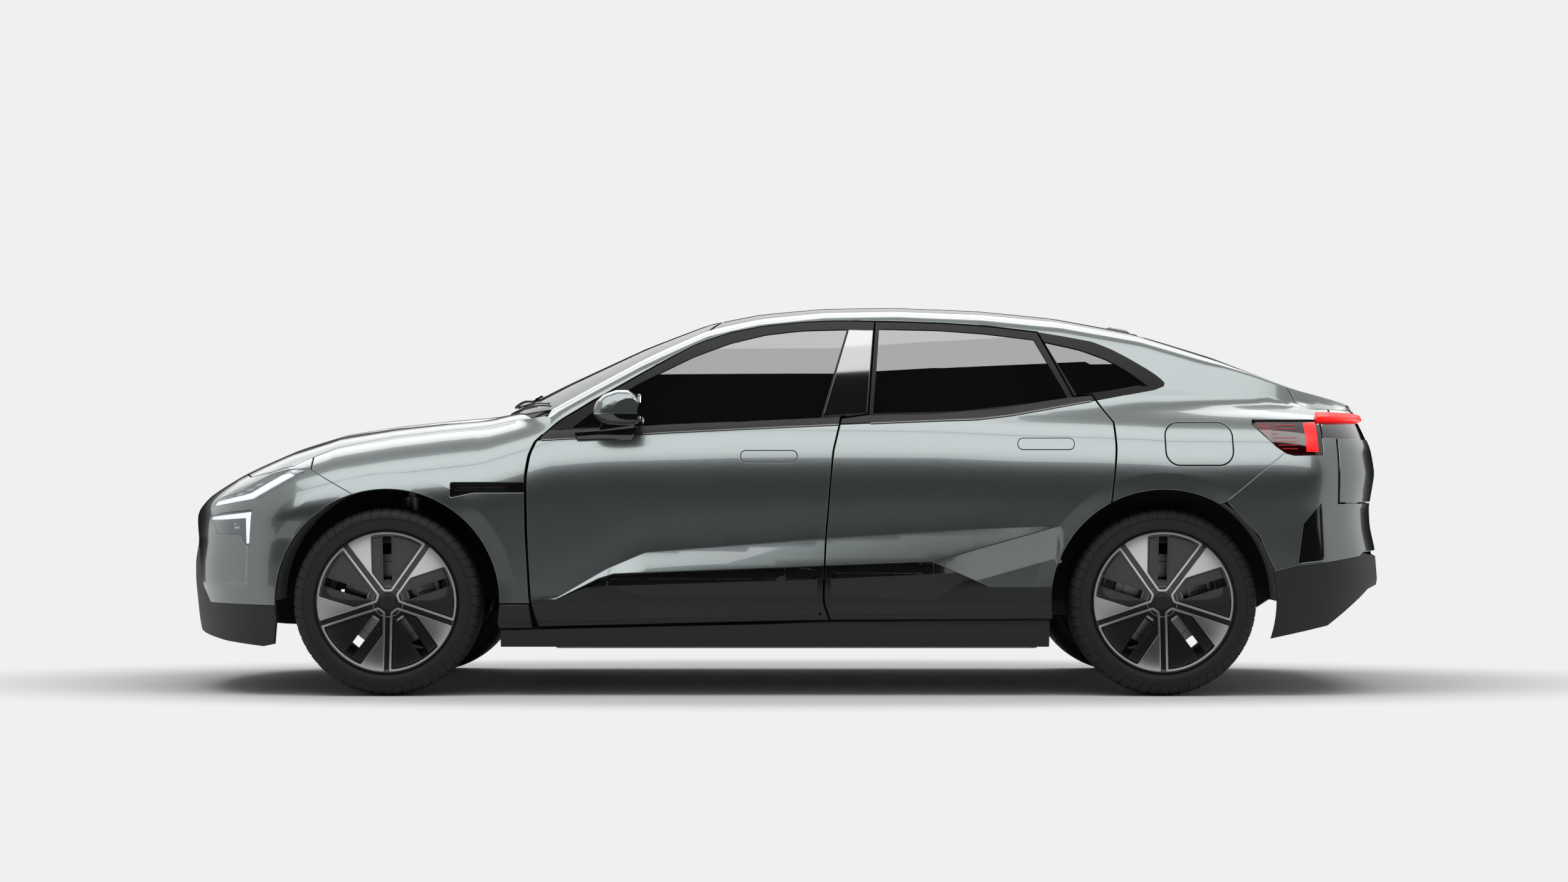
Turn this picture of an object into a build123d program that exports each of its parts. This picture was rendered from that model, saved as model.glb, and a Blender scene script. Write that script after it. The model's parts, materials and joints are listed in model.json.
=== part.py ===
# Electric coupe SUV: x runs rearward from mid-length, y to the right, z up from the ground.
import os
from math import sqrt

from build123d import *

os.makedirs("parts", exist_ok=True)

# Driving dimensions, mm
front_overhang = 886
wheelbase = 2999
rear_overhang = 955
body_width = 2008
tyre_radius = 364
tyre_width = 255
rim_radius = 273
track_half = 845
arch_radius = 436
rear_arch_radius = 434
shut_gap = 6
skin_gauge = 14
door_depth = 80
window_frame_depth = 42
pillar_depth = 42
door_to_frame = 6
door_flange = 16
panel_gauge = 24
glass_gauge = 5
glazing_gap = 0.3
mirror_gap = 0.3
rear_bench_half = 640
hood_gauge = 28
tailgate_gauge = 40
seat_gap = 0.3
battery_length = 1900
battery_width = 1380
battery_height = 115
ground_clearance = 172
floor_gauge = 14
liner_gauge = 4
liner_clearance = 16
front_liner_wall_y = 515
rear_liner_wall_y = 690
hub_bore = 64
seat_width = 520
bolt_circle = 108

body_length = front_overhang + wheelbase + rear_overhang
front_axle_x = front_overhang - body_length / 2
rear_axle_x = front_axle_x + wheelbase
hub_height = tyre_radius
frame_near = door_depth + door_to_frame
door_inset = shut_gap / 2 + door_flange

# The body's lines were drawn on these stations; station() and half() carry them to the sizes above.
drawn_front_axle = -1534
drawn_rear_axle = 1465
drawn_nose = -2420
drawn_tail = 2420
drawn_width = 2008


def station(x):
    if x < drawn_front_axle:
        return front_axle_x + (x - drawn_front_axle) * front_overhang / (drawn_front_axle - drawn_nose)
    if x > drawn_rear_axle:
        return rear_axle_x + (x - drawn_rear_axle) * rear_overhang / (drawn_tail - drawn_rear_axle)
    return front_axle_x + (x - drawn_front_axle) * wheelbase / (drawn_rear_axle - drawn_front_axle)


def half(y):
    return y * body_width / drawn_width


def smooth_curve(*knots):
    """A natural cubic curve through (x, value) knots, running on straight past its ends."""
    xs = [knot[0] for knot in knots]
    ys = [knot[1] for knot in knots]
    steps = [b - a for a, b in zip(xs, xs[1:])]
    bend = [0.0] * len(xs)
    upper, right = [0.0], [0.0]
    for i in range(1, len(xs) - 1):
        slope_change = (ys[i + 1] - ys[i]) / steps[i] - (ys[i] - ys[i - 1]) / steps[i - 1]
        pivot = 2 * (steps[i - 1] + steps[i]) - steps[i - 1] * upper[-1]
        right.append((6 * slope_change - steps[i - 1] * right[-1]) / pivot)
        upper.append(steps[i] / pivot)
    for i in range(len(xs) - 2, 0, -1):
        bend[i] = right[i] - upper[i] * bend[i + 1]

    def value(x):
        i = max(0, min(len(steps) - 1, sum(x >= knot for knot in xs[1:-1])))
        step = steps[i]
        a, b = (xs[i + 1] - x) / step, (x - xs[i]) / step
        if a > 1:
            end_slope = (ys[1] - ys[0]) / step - step * bend[1] / 6
            return ys[0] + (x - xs[0]) * end_slope
        if b > 1:
            end_slope = (ys[-1] - ys[-2]) / step + step * bend[-2] / 6
            return ys[-1] + (x - xs[-1]) * end_slope
        return a * ys[i] + b * ys[i + 1] + ((a**3 - a) * bend[i] + (b**3 - b) * bend[i + 1]) * step**2 / 6

    return value


# Body lines: heights along the centre, half widths and section shapes along the length
hood_line = smooth_curve((-2420, 705), (-2325, 778), (-2170, 863), (-1966, 955), (-1760, 1019),
                         (-1550, 1052), (-1345, 1074), (-1150, 1090))
roof_line = smooth_curve((-1170, 1088), (-881, 1233), (-568, 1377), (-307, 1476), (-99, 1517), (162, 1541),
                         (450, 1545), (787, 1532), (1099, 1501), (1412, 1442), (1725, 1345),
                         (2037, 1219), (2298, 1137), (2330, 1129))
roof_crown = smooth_curve((-1200, 2.0e-4), (-600, 1.75e-4), (-200, 1.5e-4), (1000, 1.5e-4),
                          (1700, 1.2e-4), (2330, 0.4e-4))
belt_half = smooth_curve((-1200, 832), (-600, 862), (0, 872), (600, 870), (1200, 845), (1600, 800),
                         (2000, 740), (2400, 650))
body_half = smooth_curve((-2420, 985), (-1534, 985), (-950, 962), (0, 955), (800, 965), (1465, 995),
                         (2420, 990))
shoulder_line = smooth_curve((-1150, 1090), (-906, 1130), (-700, 1150), (-200, 1168), (600, 1170),
                             (1400, 1165), (1900, 1150), (2330, 1130))
shoulder_start = smooth_curve((-2420, 560), (-1900, 680), (-1200, 700), (2420, 700))
shoulder_rise = smooth_curve((-2420, 2.2), (-1200, 2.3), (-906, 3.0), (-700, 3.2), (600, 3.2),
                             (1500, 3.0), (2400, 3.5))
shoulder_side = smooth_curve((-2420, 4.5), (-1200, 5), (-906, 6.4), (-700, 6), (600, 6),
                             (1500, 5), (2400, 6))
nose_profile = smooth_curve((150, -2372), (280, -2396), (430, -2412), (513, -2412), (596, -2398),
                            (690, -2412), (760, -2412))
tail_profile = smooth_curve((150, 2300), (300, 2380), (435, 2412), (553, 2402), (650, 2380), (724, 2376),
                            (860, 2400), (960, 2385), (1060, 2345), (1130, 2325))
nose_start = -1200
tail_start = 1465
deck_tip = (2325, 1130)


def body_top(x):
    return hood_line(x) if x < -1150 else shoulder_line(x)


def nose_width(u):
    return sqrt(max(0, 1 - u**5))


def tail_width(u):
    return max(0, 1 - u**6) ** (1 / 2.2)


def lower_half(x, z):
    """Half width of the lower body, rounding over to its top."""
    rise = (z - shoulder_start(x)) / (body_top(x) - shoulder_start(x))
    if rise >= 1:
        return 0
    return body_half(x) * (1 - max(0, rise) ** shoulder_rise(x)) ** (1 / shoulder_side(x))


def glass_half(x, z):
    """Half width of the side glass, leaning in above the belt and tucked in below it."""
    above = z - 1065
    tuck = 0.004 * min(0, above + 10) ** 2
    fade = 0.004 * min(0, x + 900) ** 2
    return belt_half(x) - 0.5 * above - 0.00018 * above * abs(above) - tuck - fade


def section_half(x, z):
    """Half width at a station: the wider of body and glass, blended where they meet."""
    body, glass = lower_half(x, z), glass_half(x, z)
    blend = 25 + 35 * min(1, max(0, (x - 900) / 500))
    return (body + glass + sqrt((body - glass) ** 2 + blend**2)) / 2 + facet(x, z)


def tail_reach(z):
    return tail_profile(min(z, deck_tip[1])) - tail_start


def side_half(x, z):
    """Half width of the side, drawn in towards the tail."""
    if x < tail_start:
        return section_half(x, z)
    share = (x - tail_start) / tail_reach(z)
    drawn = tail_start + share * (drawn_tail - tail_start)
    return section_half(min(drawn, 2330), z) * tail_width(share)


def facet(x, z):
    """The light catcher that swells out along the foot of the doors."""
    start, end = min(1, max(0, (x + 900) / 500)), min(1, max(0, (1050 - x) / 500))
    crease = 545 + 0.085 * (x + 540)
    out = min(1, max(0, (crease + 60 - z) / 150))
    return 34 * out**2 * (3 - 2 * out) * start * (2 - start) * end * (2 - end)


def roof_height(x, y):
    return roof_line(x) - roof_crown(x) * y**2


def steps(first, last, count):
    return [first + (last - first) * i / (count - 1) for i in range(count)]


def skin(rows):
    points = [[Vector(*p) for p in row] for row in rows]
    return Face.make_surface_from_array_of_points(points, tol=1.5, min_deg=3, max_deg=3)


def side_skin(depth):
    """The left side's surface, depth mm inside the paint."""
    heights = steps(140, 890, 14) + steps(940, 1560, 13)
    return skin([[(station(x), depth - half(side_half(x, z)), z) for z in heights]
                 for x in steps(-1100, 2200, 34)])


def nose_skin():
    """The left half of the nose, hood and fender, from the scuttle to the centre of the bumper."""
    rows = []
    shares = [(-0.28 + 0.07 * i) for i in range(4)] + [1 - w * w for w in steps(1, 0, 22)]
    for u in shares:
        drawn = nose_start + u * (nose_start - drawn_nose) * -1
        wide = body_half(drawn) * nose_width(max(0, u))
        start, top = shoulder_start(drawn), body_top(drawn)
        rise, side = shoulder_rise(drawn), shoulder_side(drawn)
        section = [(1, z) for z in steps(140, start, 9)]
        section += [((1 - v**rise) ** (1 / side), start + v * (top - start)) for v in steps(0.08, 0.8, 9)]
        share = (1 - 0.8**rise) ** (1 / side)
        section += [(f, start + (1 - f**side) ** (1 / rise) * (top - start))
                    for f in steps(share - 0.07, 0, 9)]
        row = []
        for f, z in section:
            reach = (nose_start - nose_profile(min(z, 760))) if u > 0 else (nose_start - drawn_nose)
            row.append((station(nose_start - u * reach), -half(wide * f), z))
        rows.append(row)
    return skin(rows)


def tail_skin():
    """The left half of the tail, from the rear axle round to the centre."""
    heights = steps(140, 900, 22) + steps(920, 1126, 16)
    return skin([[(station(tail_start + (1 - w * w) * tail_reach(z)),
                   -half(side_half(tail_start + (1 - w * w) * tail_reach(z), z)), z) for z in heights]
                 for w in steps(1, 0, 24)])


def roof_skin(drop):
    """The windscreen, roof and fastback surface, drop mm below the glass."""
    return skin([[(station(x), half(y), roof_height(x, y) - drop) for y in steps(-1100, 1100, 25)]
                 for x in steps(-1230, 2345, 60)])


# Side view lines, as (station, height)
front_door_nose = [(-951, 265), (-978, 362), (-994, 631), (-997, 850), (-984, 935), (-962, 985)]
door_top = [(-962, 985), (-873, 1066), (-729, 1154), (-569, 1247), (-353, 1372), (-211, 1425), (-69, 1453),
            (73, 1467), (215, 1471), (360, 1467)]
rear_door_top = [(360, 1467), (618, 1459), (800, 1446), (1000, 1422)]
door_split = [(328, 1091), (222, 1076), (191, 947), (163, 631), (153, 362), (177, 292)]
rear_door_tail = [(1131, 1162), (1203, 1169), (1279, 1060), (1284, 960), (1276, 860), (1262, 745)]
front_glass_top = [(-825, 1036), (-729, 1112), (-569, 1212), (-353, 1321), (-211, 1375), (-69, 1410),
                   (73, 1426), (250, 1431)]
front_glass_foot = [(144, 1078), (-138, 1064), (-487, 1049), (-825, 1036)]
rear_glass_top = [(374, 1433), (618, 1427), (800, 1413), (985, 1390)]
rear_glass_foot = [(1108, 1158), (952, 1134), (691, 1104), (346, 1094)]
quarter_glass_top = [(1024, 1381), (1164, 1349), (1269, 1310), (1350, 1262), (1431, 1202)]
quarter_glass_foot = [(1380, 1204), (1270, 1184), (1144, 1166)]
hood_side = [(-1911, -818), (-1750, -775), (-1550, -748), (-1300, -735), (-1087, -738), (-985, -765)]
hood_front = [(-2185, 0), (-2162, -450), (-2100, -690), (-2010, -775), (-1911, -818)]
scuttle_line = [(-985, -765), (-1060, -560), (-1130, -300), (-1168, 0)]
screen_foot = [(-1138, 0), (-1100, -300), (-1030, -560), (-912, -752)]
screen_side = [(-912, -752), (-625, -668), (-466, -604), (-300, -556)]
screen_head = [(-300, -556), (-262, -300), (-250, 0)]
roof_glass_head = [(-238, 0), (-250, -300), (-285, -546)]
roof_glass_side = [(-285, -546), (0, -512), (500, -498), (1000, -490), (1425, -470)]
tailgate_side = [(1437, -474), (1700, -570), (1950, -622), (2080, -680), (2137, -790)]
upper_lamp = [(-2275, 727), (-2225, 765), (-2130, 788), (-2062, 827), (-2006, 858), (-1921, 878),
              (-1836, 880), (-2034, 765), (-2085, 757), (-2208, 737)]
lower_lamp = [(-2272, 693), (-2196, 707), (-2067, 720), (-2078, 573), (-2110, 584), (-2129, 623),
              (-2238, 626), (-2252, 659)]
fender_joint = [(-1665, 700), (-1665, 779), (-1714, 806.5), (-1837, 875), (-1837, 1150)]
fender_edge = [(-1534, 700)] + fender_joint + [(-945, 1150), (-945, 1045), (-1003, 985), (-1003, 262),
                                               (-1200, 262), (-1534, 500)]
fender_flange = [(-1034, 420), (-1012, 420), (-1012, 900), (-1034, 900)]
bumper_foot = [(-1960, 350), (-2262, 353), (-2303, 418), (-2338, 559), (-2460, 637)]
bumper_edge = bumper_foot + [(-2460, 1150)] + fender_joint[:0:-1] + [(-1665, 600)]
front_foot_edge = bumper_foot + [(-2460, 200), (-1960, 200)]
quarter_joint = [(1815, 1060), (1936, 942), (1700, 748), (1465, 700)]
quarter_edge = [(-945, 985), (-945, 1600), (2145, 1600), (2145, 1092), (2080, 1092), (2080, 1070),
                (1820, 1070)] + quarter_joint + [(1262, 700), (1200, 1000), (900, 990), (0, 1000)]
hinge_heights, lug_high = (520, 800), 60
tail_lamp_edge = [(1812, 1052), (1834, 1062), (2087, 1064), (2087, 931), (1970, 929), (1938, 937),
                  (1900, 964)]
frame_edge = [(-1040, 258), (-1040, 1000), (-760, 1190), (-560, 1300), (-350, 1410), (-200, 1500),
              (1100, 1500), (1330, 1340), (1330, 800), (1262, 700), (1100, 294), (177, 287)]
rear_foot_top = [(1885, 481), (1974, 503), (2085, 515), (2245, 538), (2263, 553), (2460, 554)]
rear_bumper_edge = (quarter_joint[2:0:-1] + [(1990, 1000), (2460, 1000)] + rear_foot_top[::-1]
                    + [(1800, 560)])
lip_half, lip_high = 560, 24
rear_foot_edge = rear_foot_top + [(2460, 420), (2273, 400), (2103, 271), (1832, 215), (1700, 215)]
tailgate_back_edge = [(2093, 990), (2093, 1086), (2151, 1086), (2151, 1600), (2460, 1600), (2460, 742),
                      (2150, 742), (2150, 990)]
sill_line = [(-1098, 255), (-951, 259), (177, 286), (1028, 291)]
y_axis, z_axis, leftward = (0, 1, 0), (0, 0, 1), (0, -1, 0)


def loop(points):
    """Straight edges that close a row of points into a ring."""
    return [[a, b] for a, b in zip(points, points[1:] + points[:1])]


def moved_out(corners, grow):
    """A closed ring of points, each moved outwards so that its edges shift by grow mm."""
    ring = [Vector(*corner) for corner in corners]
    area = sum(a.X * b.Y - b.X * a.Y for a, b in zip(ring, ring[1:] + ring[:1]))
    turn = 1 if area > 0 else -1
    moved = []
    for before, here, after in zip(ring[-1:] + ring[:-1], ring, ring[1:] + ring[:1]):
        entry, exit = (here - before).normalized(), (after - here).normalized()
        entry, exit = Vector(entry.Y, -entry.X), Vector(exit.Y, -exit.X)
        moved.append(here + (entry + exit) * (turn * grow / (1 + entry.dot(exit))))
    return moved


def outline(edges, plane=Plane.XZ, grow=0):
    """A face from a ring of edges: two points make a line, more a curve. grow moves it outwards."""
    corners = [(station(x), b) for edge in edges for x, b in edge[:-1]]
    ring = moved_out(corners, grow)
    with BuildSketch(plane) as sketch:
        with BuildLine():
            first = 0
            for edge in edges:
                points = [ring[(first + i) % len(ring)] for i in range(len(edge))]
                Line(*points) if len(points) == 2 else Spline(*points)
                first += len(edge) - 1
        make_face()
    return sketch.sketch


def front_door_outline(grow=0):
    edges = [front_door_nose, door_top, [door_top[-1], door_split[0]], door_split[:2], door_split[1:],
             [door_split[-1], front_door_nose[0]]]
    return outline(edges, grow=grow)


def rear_door_outline(grow=0):
    foot = [(1262, 297), door_split[-1]]
    edges = [door_split[:0:-1], door_split[1::-1], [door_split[0], rear_door_top[0]], rear_door_top,
             [rear_door_top[-1], rear_door_tail[0]], rear_door_tail[:2], rear_door_tail[1:3],
             rear_door_tail[2:], [rear_door_tail[-1], foot[0]], foot]
    with BuildSketch(Plane.XZ) as sketch:
        add(outline(edges, grow=grow))
        with Locations((rear_axle_x, hub_height)):
            Circle(rear_arch_radius - grow, mode=Mode.SUBTRACT)
    return sketch.sketch


def window_outline(top, foot, grow=0):
    edges = [top, [top[-1], foot[0]], foot]
    if foot[-1] != top[0]:
        edges.append([foot[-1], top[0]])
    return outline(edges, grow=grow)


def front_window(grow=0):
    return window_outline(front_glass_top, front_glass_foot, grow)


def rear_window(grow=0):
    return window_outline(rear_glass_top, rear_glass_foot, grow)


def quarter_window(grow=0):
    return window_outline(quarter_glass_top, quarter_glass_foot, grow)


def plan_outline(edges, grow=0):
    """A panel symmetric about the centre line, from the edges of its left half."""
    right_half = [[(x, -y) for x, y in reversed(edge)] for edge in reversed(edges)]
    return outline(edges + right_half, Plane.XY, grow)


def hood_outline(grow=0):
    return plan_outline([hood_front, hood_side, scuttle_line], grow)


def screen_outline(grow=0):
    return plan_outline([screen_foot, screen_side, screen_head], grow)


def roof_glass_outline(grow=0):
    return plan_outline([roof_glass_head, roof_glass_side, [roof_glass_side[-1], (1433, 0)]], grow)


def rim(z, start, count=9):
    """The tail's edge in plan at height z, from a station round to the centre."""
    width = sqrt(1 - (start - tail_start) / tail_reach(z))
    stations = [tail_start + (1 - w * w) * tail_reach(z) for w in steps(width, 0, count)]
    return [(x, -side_half(x, z)) for x in stations]


def tailgate_outline(grow=0):
    deck = rim(1112, tailgate_side[-1][0])
    edges = [[(1443, 0), tailgate_side[0]], tailgate_side, [tailgate_side[-1], deck[0]], deck]
    return plan_outline(edges, grow)


def light_bar_outline(grow=0):
    bar = rim(1075, 2088)
    return plan_outline([[(2088, 0), bar[0]], bar], grow)


def side_wall(cut, near, far):
    """What the outline cuts from the left side's wall, from near to far mm inside the paint."""
    with BuildPart() as wall:
        extrude(cut, amount=1300, dir=leftward)
        extrude(side_skin(near), amount=far - near, dir=y_axis, mode=Mode.INTERSECT)
    return wall.part


def door_shell(panel, window):
    """A door: outer skin, thick inner body inset from its edges, slim frame round the window."""
    with BuildPart() as body:
        add(side_wall(panel(-door_inset), skin_gauge, door_depth))
        split(bisect_by=Plane.XY.offset(1040), keep=Keep.BOTTOM)
    with BuildPart() as shell:
        add(side_wall(panel(-shut_gap / 2), 0, skin_gauge))
        add(side_wall(panel(-door_inset), skin_gauge, window_frame_depth))
        add(body)
        extrude(window(), amount=1300, dir=leftward, mode=Mode.SUBTRACT)
    return shell.part


def save(part, name):
    part.label = name
    export_step(part, f"parts/{name}.step")


def save_pair(part, name):
    """Writes a left piece, and its mirror image as the right one."""
    with BuildPart() as right_piece:
        mirror(part, about=Plane.XZ)
    save(part, f"{name}_left")
    save(right_piece.part, f"{name}_right")


def mirrored(part, pieces=1):
    """A left part's largest pieces and their mirror images on the right, as one part."""
    with BuildPart() as pair:
        add(part.solids().sort_by(SortBy.VOLUME)[-pieces:])
        mirror(about=Plane.XZ)
    return pair.part


def column(cut, low=0, high=1700):
    """A plan outline drawn up into a block from low to high."""
    with BuildPart() as block:
        extrude(Pos(0, 0, low) * cut, amount=high - low, dir=z_axis)
    return block.part


def roof_wall(cut, near, far):
    """What a plan outline cuts from the roof's wall, from near to far mm below the glass."""
    with BuildPart() as wall:
        extrude(cut, amount=1800, dir=z_axis)
        extrude(roof_skin(near), amount=far - near, dir=(0, 0, -1), mode=Mode.INTERSECT)
    return wall.part


def skin_wall(cut, face, direction):
    """What a side view outline cuts from a wall that a surface sweeps along direction."""
    with BuildPart() as wall:
        extrude(cut, amount=1300, dir=leftward)
        extrude(face, amount=direction.length, dir=direction, mode=Mode.INTERSECT)
    return wall.part


def nose_wall(cut, depth):
    """What a plan outline's left half cuts from a wall hung depth mm below the nose's surface."""
    with BuildPart() as wall:
        extrude(Pos(0, 0, 400) * cut, amount=1000, dir=z_axis)
        split(bisect_by=Plane.XZ, keep=Keep.TOP)
        extrude(nose_skin(), amount=depth, dir=(0, 0, -1), mode=Mode.INTERSECT)
    return wall.part


def side_polygon(points, grow=0):
    return outline(loop(points), grow=grow)


def cowl_outline():
    """Plan of everything behind the hood and between the fenders."""
    corner, screen = scuttle_line[0], screen_foot[-1]
    side = [screen, (-500, screen[1])]
    return plan_outline([scuttle_line[::-1], [corner, screen], side, [side[1], (-500, 0)]])


def scuttle_outline():
    front = [(-1157, 0), (-1118, -300), (-1050, -560), (-985, -700)]
    back = [(-895, -700), (-1000, -530), (-1060, -300), (-1090, 0)]
    return plan_outline([front, [front[-1], back[0]], back])


def strip_outline():
    """Plan of the left roof edge, from the foot of the screen to the deck."""
    inner = [(-945, -600), (-300, -440), (1437, -400), (1437, -440), (2140, -600)]
    return outline(loop(inner + [(2140, -1000), (-945, -1000)]), Plane.XY)


def flap_outline(grow=0):
    with BuildSketch(Plane.XZ) as sketch:
        with Locations((station(1603), 975)):
            RectangleRounded(260 + 2 * grow, 168 + 2 * grow, 55 + grow)
    return sketch.sketch


def lip(tip_x, low):
    """The left half of the flat lip whose edge is the car's first or last point."""
    inward = 50 if tip_x < 0 else -50
    with BuildPart() as blade:
        with BuildSketch(Plane.XY.offset(low)):
            with BuildLine():
                Polyline((tip_x + inward, 0), (tip_x, 0), (tip_x, -lip_half),
                         (tip_x + inward, -lip_half - 120), close=True)
            make_face()
        extrude(amount=lip_high)
    return blade.part


def disc(x, radius):
    with BuildSketch(Plane.XZ) as sketch:
        with Locations((x, hub_height)):
            Circle(radius)
    return sketch.sketch


# Doors and their glass
with BuildPart() as door_front:
    add(door_shell(front_door_outline, front_window))
save_pair(door_front.part, "door_front")
with BuildPart() as door_rear:
    add(door_shell(rear_door_outline, rear_window))
save_pair(door_rear.part, "door_rear")
with BuildPart() as glass_front:
    add(side_wall(front_window(-glazing_gap), 5, 5 + glass_gauge))
save_pair(glass_front.part, "door_glass_front")
with BuildPart() as glass_rear:
    add(side_wall(rear_window(-glazing_gap), 5, 5 + glass_gauge))
save_pair(glass_rear.part, "door_glass_rear")
with BuildPart() as quarter_glass:
    add(side_wall(quarter_window(-glazing_gap), 5, 5 + glass_gauge))
save(mirrored(quarter_glass.part), "quarter_glass")

# Glass of the windscreen and roof
with BuildPart() as windscreen:
    add(roof_wall(screen_outline(-glazing_gap), 0, glass_gauge))
save(windscreen.part, "windscreen")
with BuildPart() as roof_glass:
    add(roof_wall(roof_glass_outline(-glazing_gap), 0, glass_gauge))
save(roof_glass.part, "roof_glass")

# Hood, fenders and front end, all cut from the nose's surface
firewall_x, firewall_half, firewall_top = station(-1050), 700, 1000
with BuildPart() as hood:
    add(nose_wall(hood_outline(-shut_gap / 2), hood_gauge))
    with Locations((firewall_x + 7, -firewall_half + 22, firewall_top + seat_gap)):
        Box(20, 24, 65, align=(Align.CENTER, Align.CENTER, Align.MIN))
    mirror(about=Plane.XZ)
save(hood.part, "hood")

arch = disc(front_axle_x, arch_radius)
rear_arch = disc(rear_axle_x, rear_arch_radius)
hood_hole = column(hood_outline(shut_gap / 2), 600)
fender_sweep = Vector(0.15, 0.9, -0.4)
with BuildPart() as flange:
    add(skin_wall(side_polygon(fender_flange), nose_skin(), fender_sweep * 150))
    extrude(side_skin(frame_near - seat_gap), amount=300, dir=y_axis, mode=Mode.SUBTRACT)
with BuildPart() as fender:
    add(skin_wall(side_polygon(fender_edge, -seat_gap / 2), nose_skin(), fender_sweep * panel_gauge))
    extrude(arch, amount=1300, dir=leftward, mode=Mode.SUBTRACT)
    add(hood_hole, mode=Mode.SUBTRACT)
    add(column(cowl_outline(), 600), mode=Mode.SUBTRACT)
    add(flange)
save(mirrored(fender.part), "fenders")

nose_sweep = Vector(0.6, 0.5, -0.6) * 45
with BuildPart() as bumper:
    add(skin_wall(side_polygon(bumper_edge, -seat_gap / 2), nose_skin(), nose_sweep))
    extrude(arch, amount=1300, dir=leftward, mode=Mode.SUBTRACT)
    add(hood_hole, mode=Mode.SUBTRACT)
    for lamp in (upper_lamp, lower_lamp):
        extrude(side_polygon(lamp, seat_gap), amount=1300, dir=leftward, mode=Mode.SUBTRACT)
with BuildPart() as front_bumper:
    add(mirrored(bumper.part))
save(front_bumper.part, "front_bumper")

with BuildPart() as headlamp:
    for lamp in (upper_lamp, lower_lamp):
        add(skin_wall(side_polygon(lamp), nose_skin(), nose_sweep * 1.6))
    add(hood_hole, mode=Mode.SUBTRACT)
save(mirrored(headlamp.part, 2), "headlamps")

with BuildPart() as front_foot:
    add(skin_wall(side_polygon(front_foot_edge, -seat_gap / 2), nose_skin(), nose_sweep))
    add(lip(-body_length / 2, 236))
    extrude(arch, amount=1300, dir=leftward, mode=Mode.SUBTRACT)
save(mirrored(front_foot.part), "front_lower_bumper")

# Body sides: rear quarter, pillars and cant rail as one pressing a side, and the frame behind them
with BuildPart() as roof_strip:
    add(roof_wall(strip_outline(), 0, panel_gauge))
    add(column(roof_glass_outline(), 1200), mode=Mode.SUBTRACT)
    add(column(screen_outline(), 1000), mode=Mode.SUBTRACT)
    extrude(side_skin(0), amount=1500, dir=y_axis, mode=Mode.INTERSECT)
with BuildPart() as tailgate_rest:
    add(roof_wall(outline(loop([(1400, -500), (1460, -500), (1460, -440), (1400, -440)]), Plane.XY),
                  glass_gauge + 5, tailgate_gauge))
    add(column(tailgate_outline(seat_gap - shut_gap / 2), 900), mode=Mode.SUBTRACT)
with BuildPart() as body_side:
    add(side_wall(side_polygon(quarter_edge, -seat_gap / 2), 0, panel_gauge))
    extrude(roof_skin(0), amount=1500, dir=(0, 0, -1), mode=Mode.INTERSECT)
    add(roof_strip)
    add(column(tailgate_outline(shut_gap / 2), 900), mode=Mode.SUBTRACT)
    for panel in (front_door_outline, rear_door_outline):
        extrude(panel(shut_gap / 2), amount=1300, dir=leftward, mode=Mode.SUBTRACT)
    extrude(quarter_window(), amount=1300, dir=leftward, mode=Mode.SUBTRACT)
    extrude(side_polygon(tail_lamp_edge, seat_gap), amount=1300, dir=leftward, mode=Mode.SUBTRACT)
    extrude(rear_arch, amount=1300, dir=leftward, mode=Mode.SUBTRACT)
    add(tailgate_rest)
with BuildPart() as body_sides:
    add(mirrored(body_side.part))
    extrude(flap_outline(shut_gap / 2), amount=1300, dir=leftward, mode=Mode.SUBTRACT)
save(body_sides.part, "body_sides")

flap_front = station(1603) - 130
with BuildPart() as charge_flap:
    add(side_wall(flap_outline(-shut_gap / 2), 0, panel_gauge / 2))
    for low, high, near, far in ((-12, 22, panel_gauge + seat_gap, panel_gauge + 7),
                                 (shut_gap / 2 + 4, 22, panel_gauge / 2 - 1, panel_gauge + 7)):
        add(side_wall(side_polygon([(flap_front + low, 950), (flap_front + high, 950),
                                    (flap_front + high, 1000), (flap_front + low, 1000)]), near, far))
save(charge_flap.part, "charge_flap")

with BuildPart() as hinge_lugs:
    for door, start, end in ((front_door_outline, -1012, -940), (rear_door_outline, 165, 195)):
        with BuildPart() as lug:
            for z in hinge_heights:
                corners = [(start, z), (end, z), (end, z + lug_high), (start, z + lug_high)]
                add(side_wall(side_polygon(corners), 30, frame_near + 5))
            extrude(door(seat_gap - door_inset), amount=1300, dir=leftward, mode=Mode.SUBTRACT)
        add(lug)
with BuildPart() as side_frame:
    add(side_wall(side_polygon(frame_edge), frame_near, frame_near + pillar_depth))
    for panel in (front_door_outline, rear_door_outline):
        extrude(panel(-46), amount=1300, dir=leftward, mode=Mode.SUBTRACT)
    extrude(disc(rear_axle_x, rear_arch_radius + 30), amount=1300, dir=leftward, mode=Mode.SUBTRACT)
    extrude(roof_skin(panel_gauge + seat_gap), amount=1500, dir=(0, 0, -1), mode=Mode.INTERSECT)
    add(hinge_lugs)
save(mirrored(side_frame.part), "side_frames")

# Tail: tailgate with its light bar, lamps, bumper
tail_sweep = Vector(-0.7, 0.45, -0.2) * 40
bar_low, bar_high, bar_proud, bar_deep = 1056, 1087, 20, 12
with BuildPart() as light_bar:
    add(column(light_bar_outline(bar_proud), bar_low, bar_high))
    add(column(light_bar_outline(-bar_deep), bar_low, bar_high), mode=Mode.SUBTRACT)
    split(bisect_by=Plane.YZ.offset(station(2088)), keep=Keep.TOP)
save(light_bar.part, "rear_light_bar")

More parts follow.
